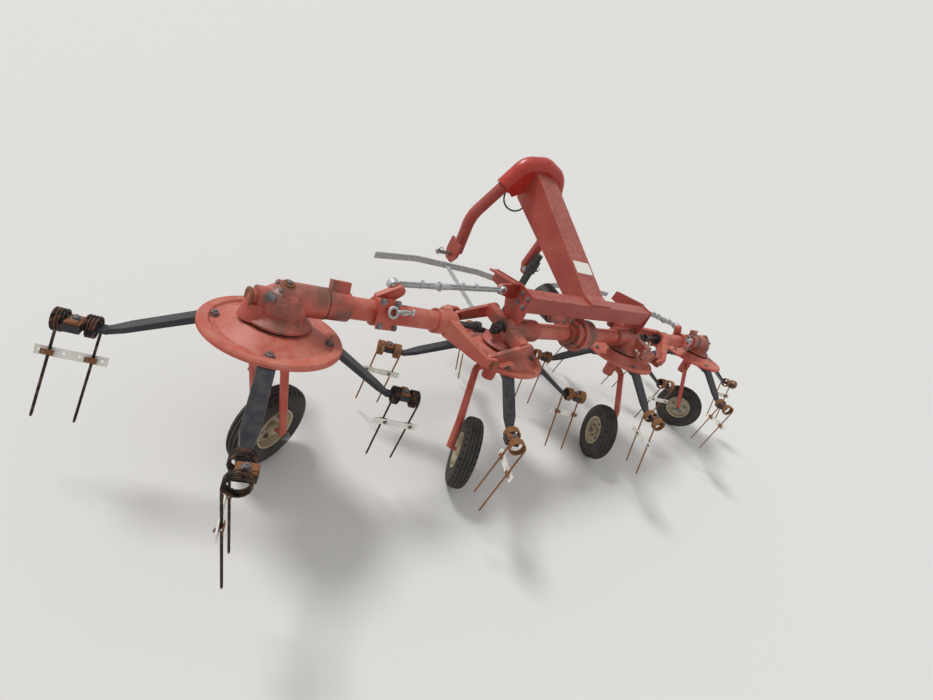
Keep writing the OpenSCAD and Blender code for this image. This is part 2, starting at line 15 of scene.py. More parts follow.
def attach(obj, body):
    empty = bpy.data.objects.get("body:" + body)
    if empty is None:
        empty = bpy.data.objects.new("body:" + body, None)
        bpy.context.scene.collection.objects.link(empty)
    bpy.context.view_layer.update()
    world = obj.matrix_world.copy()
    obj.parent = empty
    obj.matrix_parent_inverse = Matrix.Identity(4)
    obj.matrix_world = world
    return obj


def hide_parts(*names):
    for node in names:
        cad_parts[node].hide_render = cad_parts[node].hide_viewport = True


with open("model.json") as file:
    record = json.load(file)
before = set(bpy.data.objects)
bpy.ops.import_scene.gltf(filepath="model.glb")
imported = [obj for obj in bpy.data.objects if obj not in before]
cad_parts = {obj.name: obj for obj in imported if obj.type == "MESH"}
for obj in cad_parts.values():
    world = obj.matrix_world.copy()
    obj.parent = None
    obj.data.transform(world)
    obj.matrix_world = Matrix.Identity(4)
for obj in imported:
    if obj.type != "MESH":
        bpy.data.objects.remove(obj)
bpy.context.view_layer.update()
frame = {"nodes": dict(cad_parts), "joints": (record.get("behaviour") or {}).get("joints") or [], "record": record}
nodes = frame["nodes"]
joints = {joint["name"]: joint for joint in frame["joints"]}
scene = bpy.context.scene
MM = 0.001

# %% [markdown]
# The photograph was taken from behind the end of the left wing, with the camera held askew.
# Its place and its three turns were worked out from points on the rotors, the wheels and the arch.
# A wide lens of about 17 mm gives the strong perspective, so the near rotor looks large.

# %% Camera at the photograph's place
photo_w = 933
focal_px = 450
sensor_mm = 36
sight_range = 400
eye = Vector((-2.4005, -1.6055, 1.894))
yaw, pitch, roll = 0.8463, 0.5333, 0.5443
forward = Vector((math.sin(yaw) * math.cos(pitch), math.cos(yaw) * math.cos(pitch), -math.sin(pitch)))
level_right = Vector((math.cos(yaw), -math.sin(yaw), 0))
level_up = level_right.cross(forward)
right = level_right * math.cos(roll) + level_up * math.sin(roll)
up = level_up * math.cos(roll) - level_right * math.sin(roll)
camera_data = bpy.data.cameras.new("photo_camera")
camera_data.sensor_width = sensor_mm
camera_data.lens = focal_px / photo_w * sensor_mm
camera_data.clip_end = sight_range
camera = bpy.data.objects.new("photo_camera", camera_data)
camera.matrix_world = Matrix.Translation(eye) @ Matrix((right, up, -forward)).transposed().to_4x4()
scene.collection.objects.link(camera)
scene.camera = camera
print("lens", round(camera_data.lens, 2), "mm")

# %% [markdown]
# Every shader in this file is a small graph of nodes. One function adds a node, sets it and links it,
# so each material below reads from top to bottom like a recipe. Colours are written as sRGB hex values,
# the way a painter's chart gives them, and turned to the linear numbers that light is summed in.
# A Mix node keeps its sockets for every kind of data. For colours, socket 0 is the factor, sockets 6 and 7
# are the two colours, and output 2 is the mixed one, so these numbers get names.

# %% Helpers for materials
FACTOR, FIRST, SECOND, MIXED = 0, 6, 7, 2


def linear(hex_colour):
    """Turns an sRGB colour such as 'C8503C' into the linear numbers that shaders use."""
    parts = [int(hex_colour[i:i + 2], 16) / 255 for i in (0, 2, 4)]
    return tuple(c / 12.92 if c <= 0.04045 else ((c + 0.055) / 1.055) ** 2.4 for c in parts) + (1.0,)


def add_node(tree, kind, inputs=None, **settings):
    """Adds one shader node. An input takes a number, a colour, or another node or its output."""
    node = tree.nodes.new(kind)
    for name, value in settings.items():
        setattr(node, name, value)
    for name, value in (inputs or {}).items():
        if isinstance(value, bpy.types.Node):
            value = value.outputs[0]
        if isinstance(value, bpy.types.NodeSocket):
            tree.links.new(value, node.inputs[name])
        else:
            node.inputs[name].default_value = value
    return node


def new_material(name):
    """An empty material under that name, and its tree of nodes."""
    material = bpy.data.materials.new(name)
    material.use_nodes = True
    material.node_tree.nodes.clear()
    return material, material.node_tree


print("faded red in linear light", [round(c, 3) for c in linear("B84B3B")])

# %% [markdown]
# Plain soft light shows a finish best. A pale world fills the shadows, and one wide sun lamp
# from the machine's front gives the shape. Their strengths add up to about one on a surface that faces the
# lamp, so a colour renders about as it is written. The camera sees the sky in the floor's own grey.

# %% Light and world
sun_strength = 1.9
sun_width = math.radians(14)
sun_turns = (math.radians(38), math.radians(8), math.radians(200))

scene.view_settings.view_transform = "Standard"
world = bpy.data.worlds.new("studio")
world.use_nodes = True
scene.world = world
sky_tree = world.node_tree
sky_tree.nodes.clear()
rays = add_node(sky_tree, "ShaderNodeLightPath")
seen = add_node(sky_tree, "ShaderNodeMath",
                {0: rays.outputs["Is Camera Ray"], 1: rays.outputs["Is Transmission Ray"]},
                operation="MAXIMUM")
sky_tone = add_node(sky_tree, "ShaderNodeMix",
                    {FACTOR: seen, FIRST: linear("CBCBCC"), SECOND: linear("E0DFDB")}, data_type="RGBA")
sky = add_node(sky_tree, "ShaderNodeBackground", {"Color": sky_tone.outputs[MIXED], "Strength": 1.0})
add_node(sky_tree, "ShaderNodeOutputWorld", {"Surface": sky})

sun_data = bpy.data.lights.new("wide_sun", "SUN")
sun_data.energy = sun_strength
sun_data.angle = sun_width
sun = bpy.data.objects.new("wide_sun", sun_data)
sun.rotation_euler = sun_turns
scene.collection.objects.link(sun)
print("sun", sun_strength)

# %% [markdown]
# The floor is one large matt face that catches the machine's shadow. It is rendered but isn't part of the
# object. A low specular level keeps it from shining at a flat angle.

# %% Floor
floor_reach = 120
floor_mesh = bpy.data.meshes.new("floor")
shape = bmesh.new()
bmesh.ops.create_grid(shape, x_segments=1, y_segments=1, size=floor_reach)
shape.to_mesh(floor_mesh)
shape.free()
floor = bpy.data.objects.new("floor", floor_mesh)
scene.collection.objects.link(floor)
pale_floor, tree = new_material("pale_floor")
matt = add_node(tree, "ShaderNodeBsdfPrincipled",
                {"Base Color": linear("D9D8D4"), "Roughness": 0.9, "Specular IOR Level": 0.2})
add_node(tree, "ShaderNodeOutputMaterial", {"Surface": matt})
floor_mesh.materials.append(pale_floor)
print("floor", len(floor_mesh.polygons), "face")

# %% [markdown]
# The frame of this machine is old farm paint: alkyd enamel that sun and rain have turned chalky. Chalking
# pales it in broad patches some 200 mm across, dust lies on what faces up, and grease cakes on the gear
# housings. Each of these films is a mix of two colours, and a noise of the film's real size says where it
# lies. The upward share of the normal keeps the dust off walls and undersides.

# %% Films on old enamel


def weathered_paint(tree, place, normal, fresh, faded, fade, dusty, grease):
    """Paint under its films. Returns its colour and the fine stain that the gloss follows."""
    weather = add_node(tree, "ShaderNodeTexNoise", {"Vector": place, "Scale": 1 / (210 * MM), "Detail": 5})
    pale = add_node(tree, "ShaderNodeMapRange",
                    {"Value": weather, "From Min": 0.38, "From Max": 0.66, "To Max": fade})
    paint = add_node(tree, "ShaderNodeMix",
                     {FACTOR: pale, FIRST: linear(fresh), SECOND: linear(faded)}, data_type="RGBA")
    stain = add_node(tree, "ShaderNodeTexNoise", {"Vector": place, "Scale": 1 / (30 * MM), "Detail": 6})
    shade = add_node(tree, "ShaderNodeMapRange",
                     {"Value": stain, "From Min": 0.3, "From Max": 0.7, "To Min": 0.88, "To Max": 1.05})
    paint = add_node(tree, "ShaderNodeHueSaturation", {"Color": paint.outputs[MIXED], "Value": shade})
    upward = add_node(tree, "ShaderNodeSeparateXYZ", {"Vector": normal}).outputs["Z"]
    level = add_node(tree, "ShaderNodeMapRange",
                     {"Value": upward, "From Min": 0.25, "From Max": 1.0, "To Max": dusty})
    cover = add_node(tree, "ShaderNodeMapRange", {"Value": stain, "From Min": 0.38, "From Max": 0.62})
    settled = add_node(tree, "ShaderNodeMath", {0: level, 1: cover}, operation="MULTIPLY")
    dirty = add_node(tree, "ShaderNodeMix",
                     {FACTOR: settled, FIRST: paint, SECOND: linear("A8917C")}, data_type="RGBA")
    smear = add_node(tree, "ShaderNodeTexNoise",
                     {"Vector": place, "Scale": 1 / (130 * MM), "Detail": 7, "Roughness": 0.6})
    caked = add_node(tree, "ShaderNodeMapRange",
                     {"Value": smear, "From Min": 0.42, "From Max": 0.6, "To Max": grease})
    greased = add_node(tree, "ShaderNodeMix",
                       {FACTOR: caked, FIRST: dirty.outputs[MIXED], SECOND: linear("6E4A3C")},
                       data_type="RGBA")
    return greased.outputs[MIXED], stain


print("films ready")

# %% [markdown]
# Paint goes first along edges, where things rub, and in spots where stones hit. The Bevel node rounds the
# normal near an edge, so where the rounded normal leaves the true one there is an edge. A ragged noise of
# 11 mm breaks up that wear, and the peaks of a second noise give chips 10 to 30 mm across.

# %% Worn edges and chips


def bare_metal(tree, place, normal, chips):
    """Where the paint is gone, from 0 to 1, and the ragged noise that tints the rust there."""
    rounded = add_node(tree, "ShaderNodeBevel", {"Radius": 4 * MM}, samples=4)
    same = add_node(tree, "ShaderNodeVectorMath", {0: rounded, 1: normal}, operation="DOT_PRODUCT")
    edge = add_node(tree, "ShaderNodeMapRange",
                    {"Value": same.outputs["Value"], "From Min": 0.99, "From Max": 0.84, "To Max": chips})
    ragged = add_node(tree, "ShaderNodeTexNoise",
                      {"Vector": place, "Scale": 1 / (11 * MM), "Detail": 6, "Roughness": 0.66})
    broken = add_node(tree, "ShaderNodeMapRange", {"Value": ragged, "From Min": 0.44, "From Max": 0.56})
    worn = add_node(tree, "ShaderNodeMath", {0: edge, 1: broken}, operation="MULTIPLY")
    spots = add_node(tree, "ShaderNodeTexNoise",
                     {"Vector": place, "Scale": 1 / (60 * MM), "Detail": 8, "Roughness": 0.72})
    chipped = add_node(tree, "ShaderNodeMapRange",
                       {"Value": spots, "From Min": 0.645, "From Max": 0.69, "To Max": chips})
    bare = add_node(tree, "ShaderNodeMath", {0: worn, 1: chipped}, operation="MAXIMUM")
    return bare, broken


print("wear ready")

# %% [markdown]
# Enamel is a plastic-like skin, so it has no metallic part and an IOR near 1.5. Rust takes its place where
# the metal is bare, duller than the paint and a little lower. The brush grain is drawn at 3 mm, coarser
# than the real one, so that it shows. All the machine's paints come from this one recipe: a sunny frame,
# a greasy housing and a blue-black tine arm differ only in colours and in how much of each film they carry.

# %% Sun-worn enamels


def enamel(name, fresh, faded, rust, fade=0.6, chips=0.5, dusty=0.3, rough=0.5, grease=0.0):
    """Enamel with pale patches, dust on top, old grease, and rust where it has chipped."""
    material, tree = new_material(name)
    place = add_node(tree, "ShaderNodeTexCoord").outputs["Object"]
    normal = add_node(tree, "ShaderNodeNewGeometry").outputs["Normal"]
    paint, stain = weathered_paint(tree, place, normal, fresh, faded, fade, dusty, grease)
    bare, broken = bare_metal(tree, place, normal, chips)
    oxide = add_node(tree, "ShaderNodeMix",
                     {FACTOR: broken, FIRST: linear(rust), SECOND: linear("8A5A3A")}, data_type="RGBA")
    colour = add_node(tree, "ShaderNodeMix",
                      {FACTOR: bare, FIRST: paint, SECOND: oxide.outputs[MIXED]}, data_type="RGBA")
    gloss = add_node(tree, "ShaderNodeMapRange",
                     {"Value": stain, "From Min": 0.3, "From Max": 0.7, "To Min": rough - 0.05,
                      "To Max": rough + 0.09})
    gloss = add_node(tree, "ShaderNodeMath", {0: bare, 1: 0.3, 2: gloss}, operation="MULTIPLY_ADD")
    grain = add_node(tree, "ShaderNodeTexNoise", {"Vector": place, "Scale": 1 / (3 * MM), "Detail": 2})
    relief = add_node(tree, "ShaderNodeMath", {0: grain, 1: 0.25}, operation="MULTIPLY")
    relief = add_node(tree, "ShaderNodeMath", {0: relief, 1: bare}, operation="SUBTRACT")
    bump = add_node(tree, "ShaderNodeBump", {"Height": relief, "Strength": 0.25, "Distance": 0.4 * MM})
    shader = add_node(tree, "ShaderNodeBsdfPrincipled",
                      {"Base Color": colour.outputs[MIXED], "Roughness": gloss, "Normal": bump, "IOR": 1.5})
    add_node(tree, "ShaderNodeOutputMaterial", {"Surface": shader})
    return material


faded_red = enamel("faded_red_enamel", "B84B3B", "CB7662", "5B3626", fade=0.75, chips=0.7, dusty=0.3)
greasy_red = enamel("greasy_red_enamel", "B0463A", "C66E5C", "5B3626", fade=0.7, chips=0.7, dusty=0.25,
                    rough=0.46, grease=0.85)
deep_red = enamel("deep_red_enamel", "9C3A2F", "AE5244", "4A2A20", fade=0.6, chips=0.4, dusty=0.25, rough=0.4)
gloss_red = enamel("gloss_red_enamel", "B32D24", "BC463A", "4A2A20", fade=0.3, chips=0.25, dusty=0.15,
                   rough=0.3)
blue_black = enamel("blue_black_enamel", "181B24", "282C36", "5A4030", fade=0.5, chips=0.6, dusty=0.06,
                    rough=0.42)
black_enamel = enamel("black_enamel", "1B1B1C", "2C2B2B", "4A3428", chips=0.4, dusty=0.2, rough=0.4)
cream_enamel = enamel("cream_enamel", "C9BFA2", "A99D80", "6B4A34", fade=0.8, chips=0.7, dusty=0.5)
white_enamel = enamel("white_enamel", "F0EEE6", "E6E2D4", "8A5A3A", fade=0.7, chips=0.3, dusty=0.15,
                      rough=0.4)
print("enamels", len([m for m in bpy.data.materials if "enamel" in m.name]))

# %% [markdown]
# Hot-dip galvanising leaves crystals of zinc, called spangle, that turn dull and pale with weather.
# The dull skin is a zinc salt and no metal, so the metallic part is under a half.
# A Voronoi pattern 11 mm across draws them, and each crystal gets its own grey and its own gloss.

# %% Hot-dip zinc
crystal_mm = 11
galvanised, tree = new_material("hot_dip_zinc")
place = add_node(tree, "ShaderNodeTexCoord").outputs["Object"]
crystals = add_node(tree, "ShaderNodeTexVoronoi", {"Vector": place, "Scale": 1 / (crystal_mm * MM)})
grey = add_node(tree, "ShaderNodeSeparateColor", {"Color": crystals.outputs["Color"]})
zinc = add_node(tree, "ShaderNodeMix",
                {FACTOR: grey, FIRST: linear("A4AAAA"), SECOND: linear("C2C8C7")}, data_type="RGBA")
film = add_node(tree, "ShaderNodeTexNoise", {"Vector": place, "Scale": 1 / (70 * MM), "Detail": 5})
stained = add_node(tree, "ShaderNodeMapRange",
                   {"Value": film, "From Min": 0.5, "From Max": 0.74, "To Max": 0.25})
zinc = add_node(tree, "ShaderNodeMix",
                {FACTOR: stained, FIRST: zinc.outputs[MIXED], SECOND: linear("7A6A58")}, data_type="RGBA")
dull = add_node(tree, "ShaderNodeMapRange", {"Value": grey, "To Min": 0.4, "To Max": 0.58})
shader = add_node(tree, "ShaderNodeBsdfPrincipled",
                  {"Base Color": zinc.outputs[MIXED], "Metallic": 0.4, "Roughness": dull})
add_node(tree, "ShaderNodeOutputMaterial", {"Surface": shader})
print("zinc crystals", crystal_mm, "mm")

# %% [markdown]
# Bare steel is bright where things rub and brown where rain lies. Bright steel is a metal, but rust is
# a dull oxide, so the rust pattern drives colour, metallic part and roughness together.
# The spring wire is nearly all brown, and the pins and bolts are rusty only in spots 24 mm across.

# %% Bare and rusty steel


def bare_steel(name, clean, brown, rusty=0.3, rough=0.35):
    """Steel with its mill skin or wear polish, partly rusted."""
    material, tree = new_material(name)
    place = add_node(tree, "ShaderNodeTexCoord").outputs["Object"]
    wet = add_node(tree, "ShaderNodeTexNoise",
                   {"Vector": place, "Scale": 1 / (24 * MM), "Detail": 6, "Roughness": 0.65})
    rust = add_node(tree, "ShaderNodeMapRange",
                    {"Value": wet, "From Min": 0.62 - 0.35 * rusty, "From Max": 0.78 - 0.35 * rusty})
    scale = add_node(tree, "ShaderNodeTexNoise", {"Vector": place, "Scale": 1 / (5 * MM), "Detail": 4})
    oxide = add_node(tree, "ShaderNodeMix",
                     {FACTOR: scale, FIRST: linear(brown), SECOND: linear("7A5236")}, data_type="RGBA")
    colour = add_node(tree, "ShaderNodeMix",
                      {FACTOR: rust, FIRST: linear(clean), SECOND: oxide.outputs[MIXED]}, data_type="RGBA")
    metal = add_node(tree, "ShaderNodeMapRange", {"Value": rust, "To Min": 1.0, "To Max": 0.1})
    gloss = add_node(tree, "ShaderNodeMapRange", {"Value": rust, "To Min": rough, "To Max": 0.85})
    bump = add_node(tree, "ShaderNodeBump", {"Height": scale, "Strength": 0.3, "Distance": 0.3 * MM})
    shader = add_node(tree, "ShaderNodeBsdfPrincipled",
                      {"Base Color": colour.outputs[MIXED], "Metallic": metal, "Roughness": gloss,
                       "Normal": bump})
    add_node(tree, "ShaderNodeOutputMaterial", {"Surface": shader})
    return material


worn_steel = bare_steel("worn_bright_steel", "A0A09E", "5A3C28", rusty=0.2)
bolt_steel = bare_steel("zinc_plated_bolt_steel", "8E9094", "6A452C", rusty=0.45, rough=0.4)
spring_steel = bare_steel("rusty_spring_steel", "6A5642", "9C6B42", rusty=1.0, rough=0.5)
# Painted shade: a darker copy of the spring steel, used only for the tines of rotor 1.
spring_steel_in_painted_shade = bare_steel("spring_steel_painted_shade", "2E2C2B", "4A3428", rusty=0.45, rough=0.45)
rusty_casting = bare_steel("rusty_cast_iron", "6A5646", "8A5430", rusty=1.1, rough=0.6)
print("steels made")

# %% [markdown]
# Tyre rubber is black only when it is new. In a yard it is grey with dust, which lies in patches some
# 90 mm across, so a noise blends the dust in. The guard and the hose are moulded black plastic and
# rubber that weather the same way, with less dust.

# %% Rubber and black plastic


def dusty_black(name, black, dust, amount, rough, size_mm):
    """A black moulded skin under a film of dust."""
    material, tree = new_material(name)
    place = add_node(tree, "ShaderNodeTexCoord").outputs["Object"]
    film = add_node(tree, "ShaderNodeTexNoise", {"Vector": place, "Scale": 1 / (size_mm * MM), "Detail": 6})
    cover = add_node(tree, "ShaderNodeMapRange",
                     {"Value": film, "From Min": 0.35, "From Max": 0.72, "To Min": 0.1, "To Max": amount})
    colour = add_node(tree, "ShaderNodeMix",
                      {FACTOR: cover, FIRST: linear(black), SECOND: linear(dust)}, data_type="RGBA")
    grain = add_node(tree, "ShaderNodeTexNoise", {"Vector": place, "Scale": 1 / (4 * MM), "Detail": 3})
    bump = add_node(tree, "ShaderNodeBump", {"Height": grain, "Strength": 0.2, "Distance": 0.3 * MM})
    shader = add_node(tree, "ShaderNodeBsdfPrincipled",
                      {"Base Color": colour.outputs[MIXED], "Roughness": rough, "Normal": bump, "IOR": 1.52})
    add_node(tree, "ShaderNodeOutputMaterial", {"Surface": shader})
    return material


tyre_rubber = dusty_black("dusty_tyre_rubber", "222120", "5F584E", 0.45, 0.8, 90)
black_plastic = dusty_black("weathered_black_plastic", "1E1E1E", "4C4842", 0.3, 0.6, 120)
hose_rubber = dusty_black("black_hose_rubber", "1A1A1A", "3C3934", 0.2, 0.55, 50)
print("rubbers made")

# %% [markdown]
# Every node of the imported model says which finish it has, and a short table turns that word into a
# material. Two groups of nodes differ from the rest of their paint: the gear housings are greasy, and the
# castor legs stand in sun and mud and have faded. Their names pick them out.

# %% Finishes for the CAD nodes
finish_of = {
    "faded_red_paint": faded_red, "deep_red_paint": deep_red, "gloss_red_paint": gloss_red,
    "bright_steel": worn_steel, "galvanised": galvanised, "black_paint": black_enamel,
    "black_plastic": black_plastic, "dark_blue_paint": blue_black,
    "rusty_spring_steel": spring_steel, "tyre_rubber": tyre_rubber, "cream_paint": cream_enamel}
greasy_nodes = ("outer_housing", "inner_housing", "centre_gearbox")
for entry in frame["record"]["subparts"]:
    finish = finish_of[entry["material_slot"]]
    if entry["node"].startswith(greasy_nodes):
        finish = greasy_red
    if entry["node"].startswith("castor_leg"):
        finish = faded_red
    mesh = nodes[entry["node"]].data
    mesh.materials.clear()
    mesh.materials.append(finish)
print("finishes", len(finish_of))

# %% [markdown]
# Each new piece is drawn in millimetres, in a frame of its own where it lies level, and then put in place.
# A frame is a matrix, and it is built up from shifts and turns, so two small functions write them briefly.

# %% Shifts and turns
HALF = math.pi
QUARTER = math.pi / 2


def shift(x, y, z):
    """A move in millimetres."""
    return Matrix.Translation((x, y, z))


def turned(axis, angle):
    """A turn about one axis, by an angle in radians."""
    return Matrix.Rotation(angle, 4, axis)


def along(start, end):
    """A frame at start whose z points to end, and the distance between them."""
    way = Vector(end) - Vector(start)
    turn = way.to_track_quat("Z", "Y").to_matrix().to_4x4()
    return Matrix.Translation(start) @ turn, way.length


print("a quarter turn takes x to", [round(v) for v in turned("Z", QUARTER) @ Vector((1, 0, 0))])

# %% [markdown]
# The rotors count from the left, so 1 and 4 are the outer ones, which the wings carry. A rotor's frame has
# its origin on the carrying tube, above the disc, and its z runs along the rotor's shaft. The joints of
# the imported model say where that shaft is, so nothing has to be measured again. What stays on the middle
# frame is placed from the machine's own origin, on the floor under the middle of the tube. Each entry of
# SIDES is the sign of x on that side, and its name.

# %% Frames of the rotors and the machine
ROTORS = (1, 2, 3, 4)
OUTER_ROTORS = (1, 4)
SIDES = ((-1, "left"), (1, "right"))
side_of = {1: -1, 2: -1, 3: 1, 4: 1}
outer_rotor = {-1: 1, 1: 4}
carrier = {1: "wing_left", 2: "frame", 3: "frame", 4: "wing_right"}
disc_drop = 147
tube_height = 805
machine = shift(27, -200.5, 0)


def rotor_frame(k, leaning=True):
    """Frame of rotor k on the tube's axis. Its z is the shaft's, or square to the tube."""
    shaft = Vector(joints[f"rotor_spin_{k}"]["axis"]).normalized()
    x = Vector((shaft.z, 0, -shaft.x)).normalized()
    y = shaft.cross(x) if leaning else Vector((0, 1, 0))
    origin = Vector(joints[f"rotor_spin_{k}"]["pos_m"]) / MM + disc_drop * shaft
    return Matrix.Translation(origin) @ Matrix((x, y, x.cross(y))).transposed().to_4x4()


print("rotor 1 origin", [round(v) for v in rotor_frame(1).translation])

# %% [markdown]
# A finished piece is one mesh in metres at the world's origin, with smooth shading up to a sharp angle,
# and it rides on a body of the model. Small forms that come back many times, such as bolts, are kept as a
# mesh and stamped: a copy is moved by a matrix and joined to the piece. That is quicker than to build each
# one anew, and it leaves one piece where there could be a hundred.

# %% Pieces and stamps


def finish_piece(name, shape, body, material, crease=35):
    """Turns a bmesh in millimetres into a piece of the object that moves with its body."""
    bmesh.ops.recalc_face_normals(shape, faces=shape.faces)
    for face in shape.faces:
        face.smooth = True
    shape.transform(Matrix.Scale(MM, 4))
    mesh = bpy.data.meshes.new(name)
    shape.to_mesh(mesh)
    shape.free()
    mesh.set_sharp_from_angle(angle=math.radians(crease))
    mesh.materials.append(material)
    piece = bpy.data.objects.new(name, mesh)
    scene.collection.objects.link(piece)
    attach(piece, body)
    return piece


def keep_form(name, shape):
    """Keeps a bmesh as a form that can be stamped many times."""
    form = bpy.data.meshes.new(name)
    shape.to_mesh(form)
    shape.free()
    return form


def stamp(shape, form, place):
    """Adds a copy of a form to a bmesh, moved by a matrix."""
    copy = form.copy()
    copy.transform(place)
    shape.from_mesh(copy)
    bpy.data.meshes.remove(copy)


print("helpers for pieces ready")

# %% [markdown]
# Most fittings start as a bar or a block. A cone operator makes round and hexagonal bars alike, since a
# hexagon is a cylinder of six sides. Real edges are never knife-sharp, so blocks get a small bevel, which
# also catches the light as a worn edge does. An operator wants each edge once, so the keys of a dict gather
# them in the order in which they were made.

# %% Bars and blocks


def edges_of(verts):
    """The edges that meet the given vertices, each once."""
    return list(dict.fromkeys(edge for vert in verts for edge in vert.link_edges))


def add_bar(shape, radius, low, high, place=Matrix(), sides=24, top=None):
    """Adds a round or many-sided bar from low to high, which may taper to another radius."""
    middle = place @ shift(0, 0, (low + high) / 2)
    made = bmesh.ops.create_cone(shape, cap_ends=True, segments=sides, radius1=radius,
                                 radius2=radius if top is None else top, depth=high - low, matrix=middle)
    return made["verts"]


def soften(shape, verts, width, keep=lambda edge: True):
    """Bevels the edges between the given vertices."""
    edges = [edge for edge in edges_of(verts) if keep(edge)]
    bmesh.ops.bevel(shape, geom=edges, offset=width, segments=2, affect="EDGES", profile=0.5, material=-1)


def add_block(shape, size, place=Matrix(), width=1.5):
    """Adds a block of the given size about the frame's origin, with rounded edges."""
    made = bmesh.ops.create_cube(shape, size=1, matrix=place @ Matrix.Diagonal((*size, 1)))
    soften(shape, made["verts"], width)


print("bars and blocks ready")

# %% [markdown]
# A ring of wire and a turned part are made alike. A small outline, drawn beside the axis, is spun through a
# full turn, as on a lathe. With use_merge the last step joins the first, so no seam stays open.

# %% Rings and turned parts


def spin_round(shape, verts, edges, place, steps):
    """Spins vertices and edges through a full turn about the frame's z."""
    axis = place.to_3x3() @ Vector((0, 0, 1))
    bmesh.ops.spin(shape, geom=verts + edges, cent=place.translation, axis=axis, dvec=(0, 0, 0),
                   angle=math.tau, steps=steps, use_merge=True, use_duplicate=False)


def add_ring(shape, radius, wire, place=Matrix(), steps=28):
    """Adds a closed ring of round wire about the frame's z."""
    circle = bmesh.ops.create_circle(shape, cap_ends=False, segments=8, radius=wire,
                                     matrix=place @ shift(radius, 0, 0) @ turned("X", QUARTER))
    spin_round(shape, circle["verts"], edges_of(circle["verts"]), place, steps)


def add_turned(shape, profile, place=Matrix(), steps=48):
    """Turns a closed profile of (radius, height) points about the frame's z."""
    verts = [shape.verts.new(place @ Vector((r, 0, z))) for r, z in profile]
    edges = [shape.edges.new((a, b)) for a, b in zip(verts, verts[1:] + verts[:1])]
    spin_round(shape, verts, edges, place, steps)


print("rings and turned parts ready")

# %% [markdown]
# Bolts hold everything here, and each one is a washer, a forged hexagon with rounded corners, and on a nut
# the end of the thread. The hexagon's corners are bevelled as forging dies leave them.
# Three sizes are made once and stamped wherever the photograph shows a bolt or the joint needs one.

# %% Hexagon bolts


def bolt_form(name, across, height, thread):
    """A bolt head or nut on its washer. It stands on z = 0."""
    shape = bmesh.new()
    washer, washer_radius = across * 0.12, across * 0.78
    corner_radius, corner_bevel = across / math.sqrt(3), across * 0.06
    top = washer + height
    add_bar(shape, washer_radius, 0, washer)
    head = add_bar(shape, corner_radius, washer, top, sides=6)
    soften(shape, head, corner_bevel, lambda edge: min(v.co.z for v in edge.verts) > top - 0.1)
    add_bar(shape, thread / 2, top - 0.5, top + thread * 0.35, sides=12, top=thread * 0.42)
    return keep_form(name, shape)


small_bolt = bolt_form("small_bolt", across=13, height=6, thread=8)
middle_bolt = bolt_form("middle_bolt", across=19, height=9, thread=12)
large_bolt = bolt_form("large_bolt", across=27, height=12, thread=18)
print("bolt faces", len(large_bolt.polygons))

# %% [markdown]
# A double spring tine is one length of hard-drawn wire: up one leg, round and round a coil, across the
# clamp, and down the other way. The coils let the tine give when it strikes a stone. The real wire is
# 9.5 mm thick and is wound to a 74 mm coil. Each coil makes three full turns and a half, and the legs lean
# by 12 degrees more. Neighbouring rotors turn against each other, so their tines are mirrored.

# %% Sizes of a tine
wire_r = 4.75
coil_radius = 37
pitch = 9.8
leg_gap = 124
leg_len = 388
lean_degrees = 12
lean = math.radians(lean_degrees)
rake = math.radians(3)
tip_len = 9
tip_share = 0.62
coil_angle = math.radians(3 * 360 + 180 + lean_degrees)
coil_steps = 53
coil_place = shift(600, 0, -305)
arms = 4
first_arm_degrees = {1: 250, 2: 245, 3: 250, 4: 245}
hand_of = {1: 1, 2: -1, 3: 1, 4: -1}
arm_places = {k: [rotor_frame(k) @ turned("Z", math.radians(first_arm_degrees[k] + 360 // arms * i))
                  for i in range(arms)] for k in ROTORS}
print("coil", 2 * (coil_radius + wire_r), "mm across outside")

# %% [markdown]
# A leg starts at its tip as a ring of eight vertices. The ring is extruded up twice, first over the short
# taper and then to the coil, and is then spun about the coil's axis while it moves sideways, which makes a
# true helix. A spin keeps the wire round all the way, which a bent cylinder wouldn't.

# %% Double tines


def lengthen(shape, edges, move, spread=1.0):
    """Extrudes a ring of edges by a vector, makes it wider or narrower, and returns the new ring."""
    made = bmesh.ops.extrude_edge_only(shape, edges=edges)["geom"]
    verts = [item for item in made if isinstance(item, bmesh.types.BMVert)]
    bmesh.ops.translate(shape, vec=move, verts=verts)
    middle = sum((vert.co for vert in verts), Vector()) / len(verts)
    bmesh.ops.scale(shape, vec=(spread,) * 3, space=Matrix.Translation(-middle), verts=verts)
    return [edge for edge in made if isinstance(edge, bmesh.types.BMEdge)
            and all(vert in verts for vert in edge.verts)]


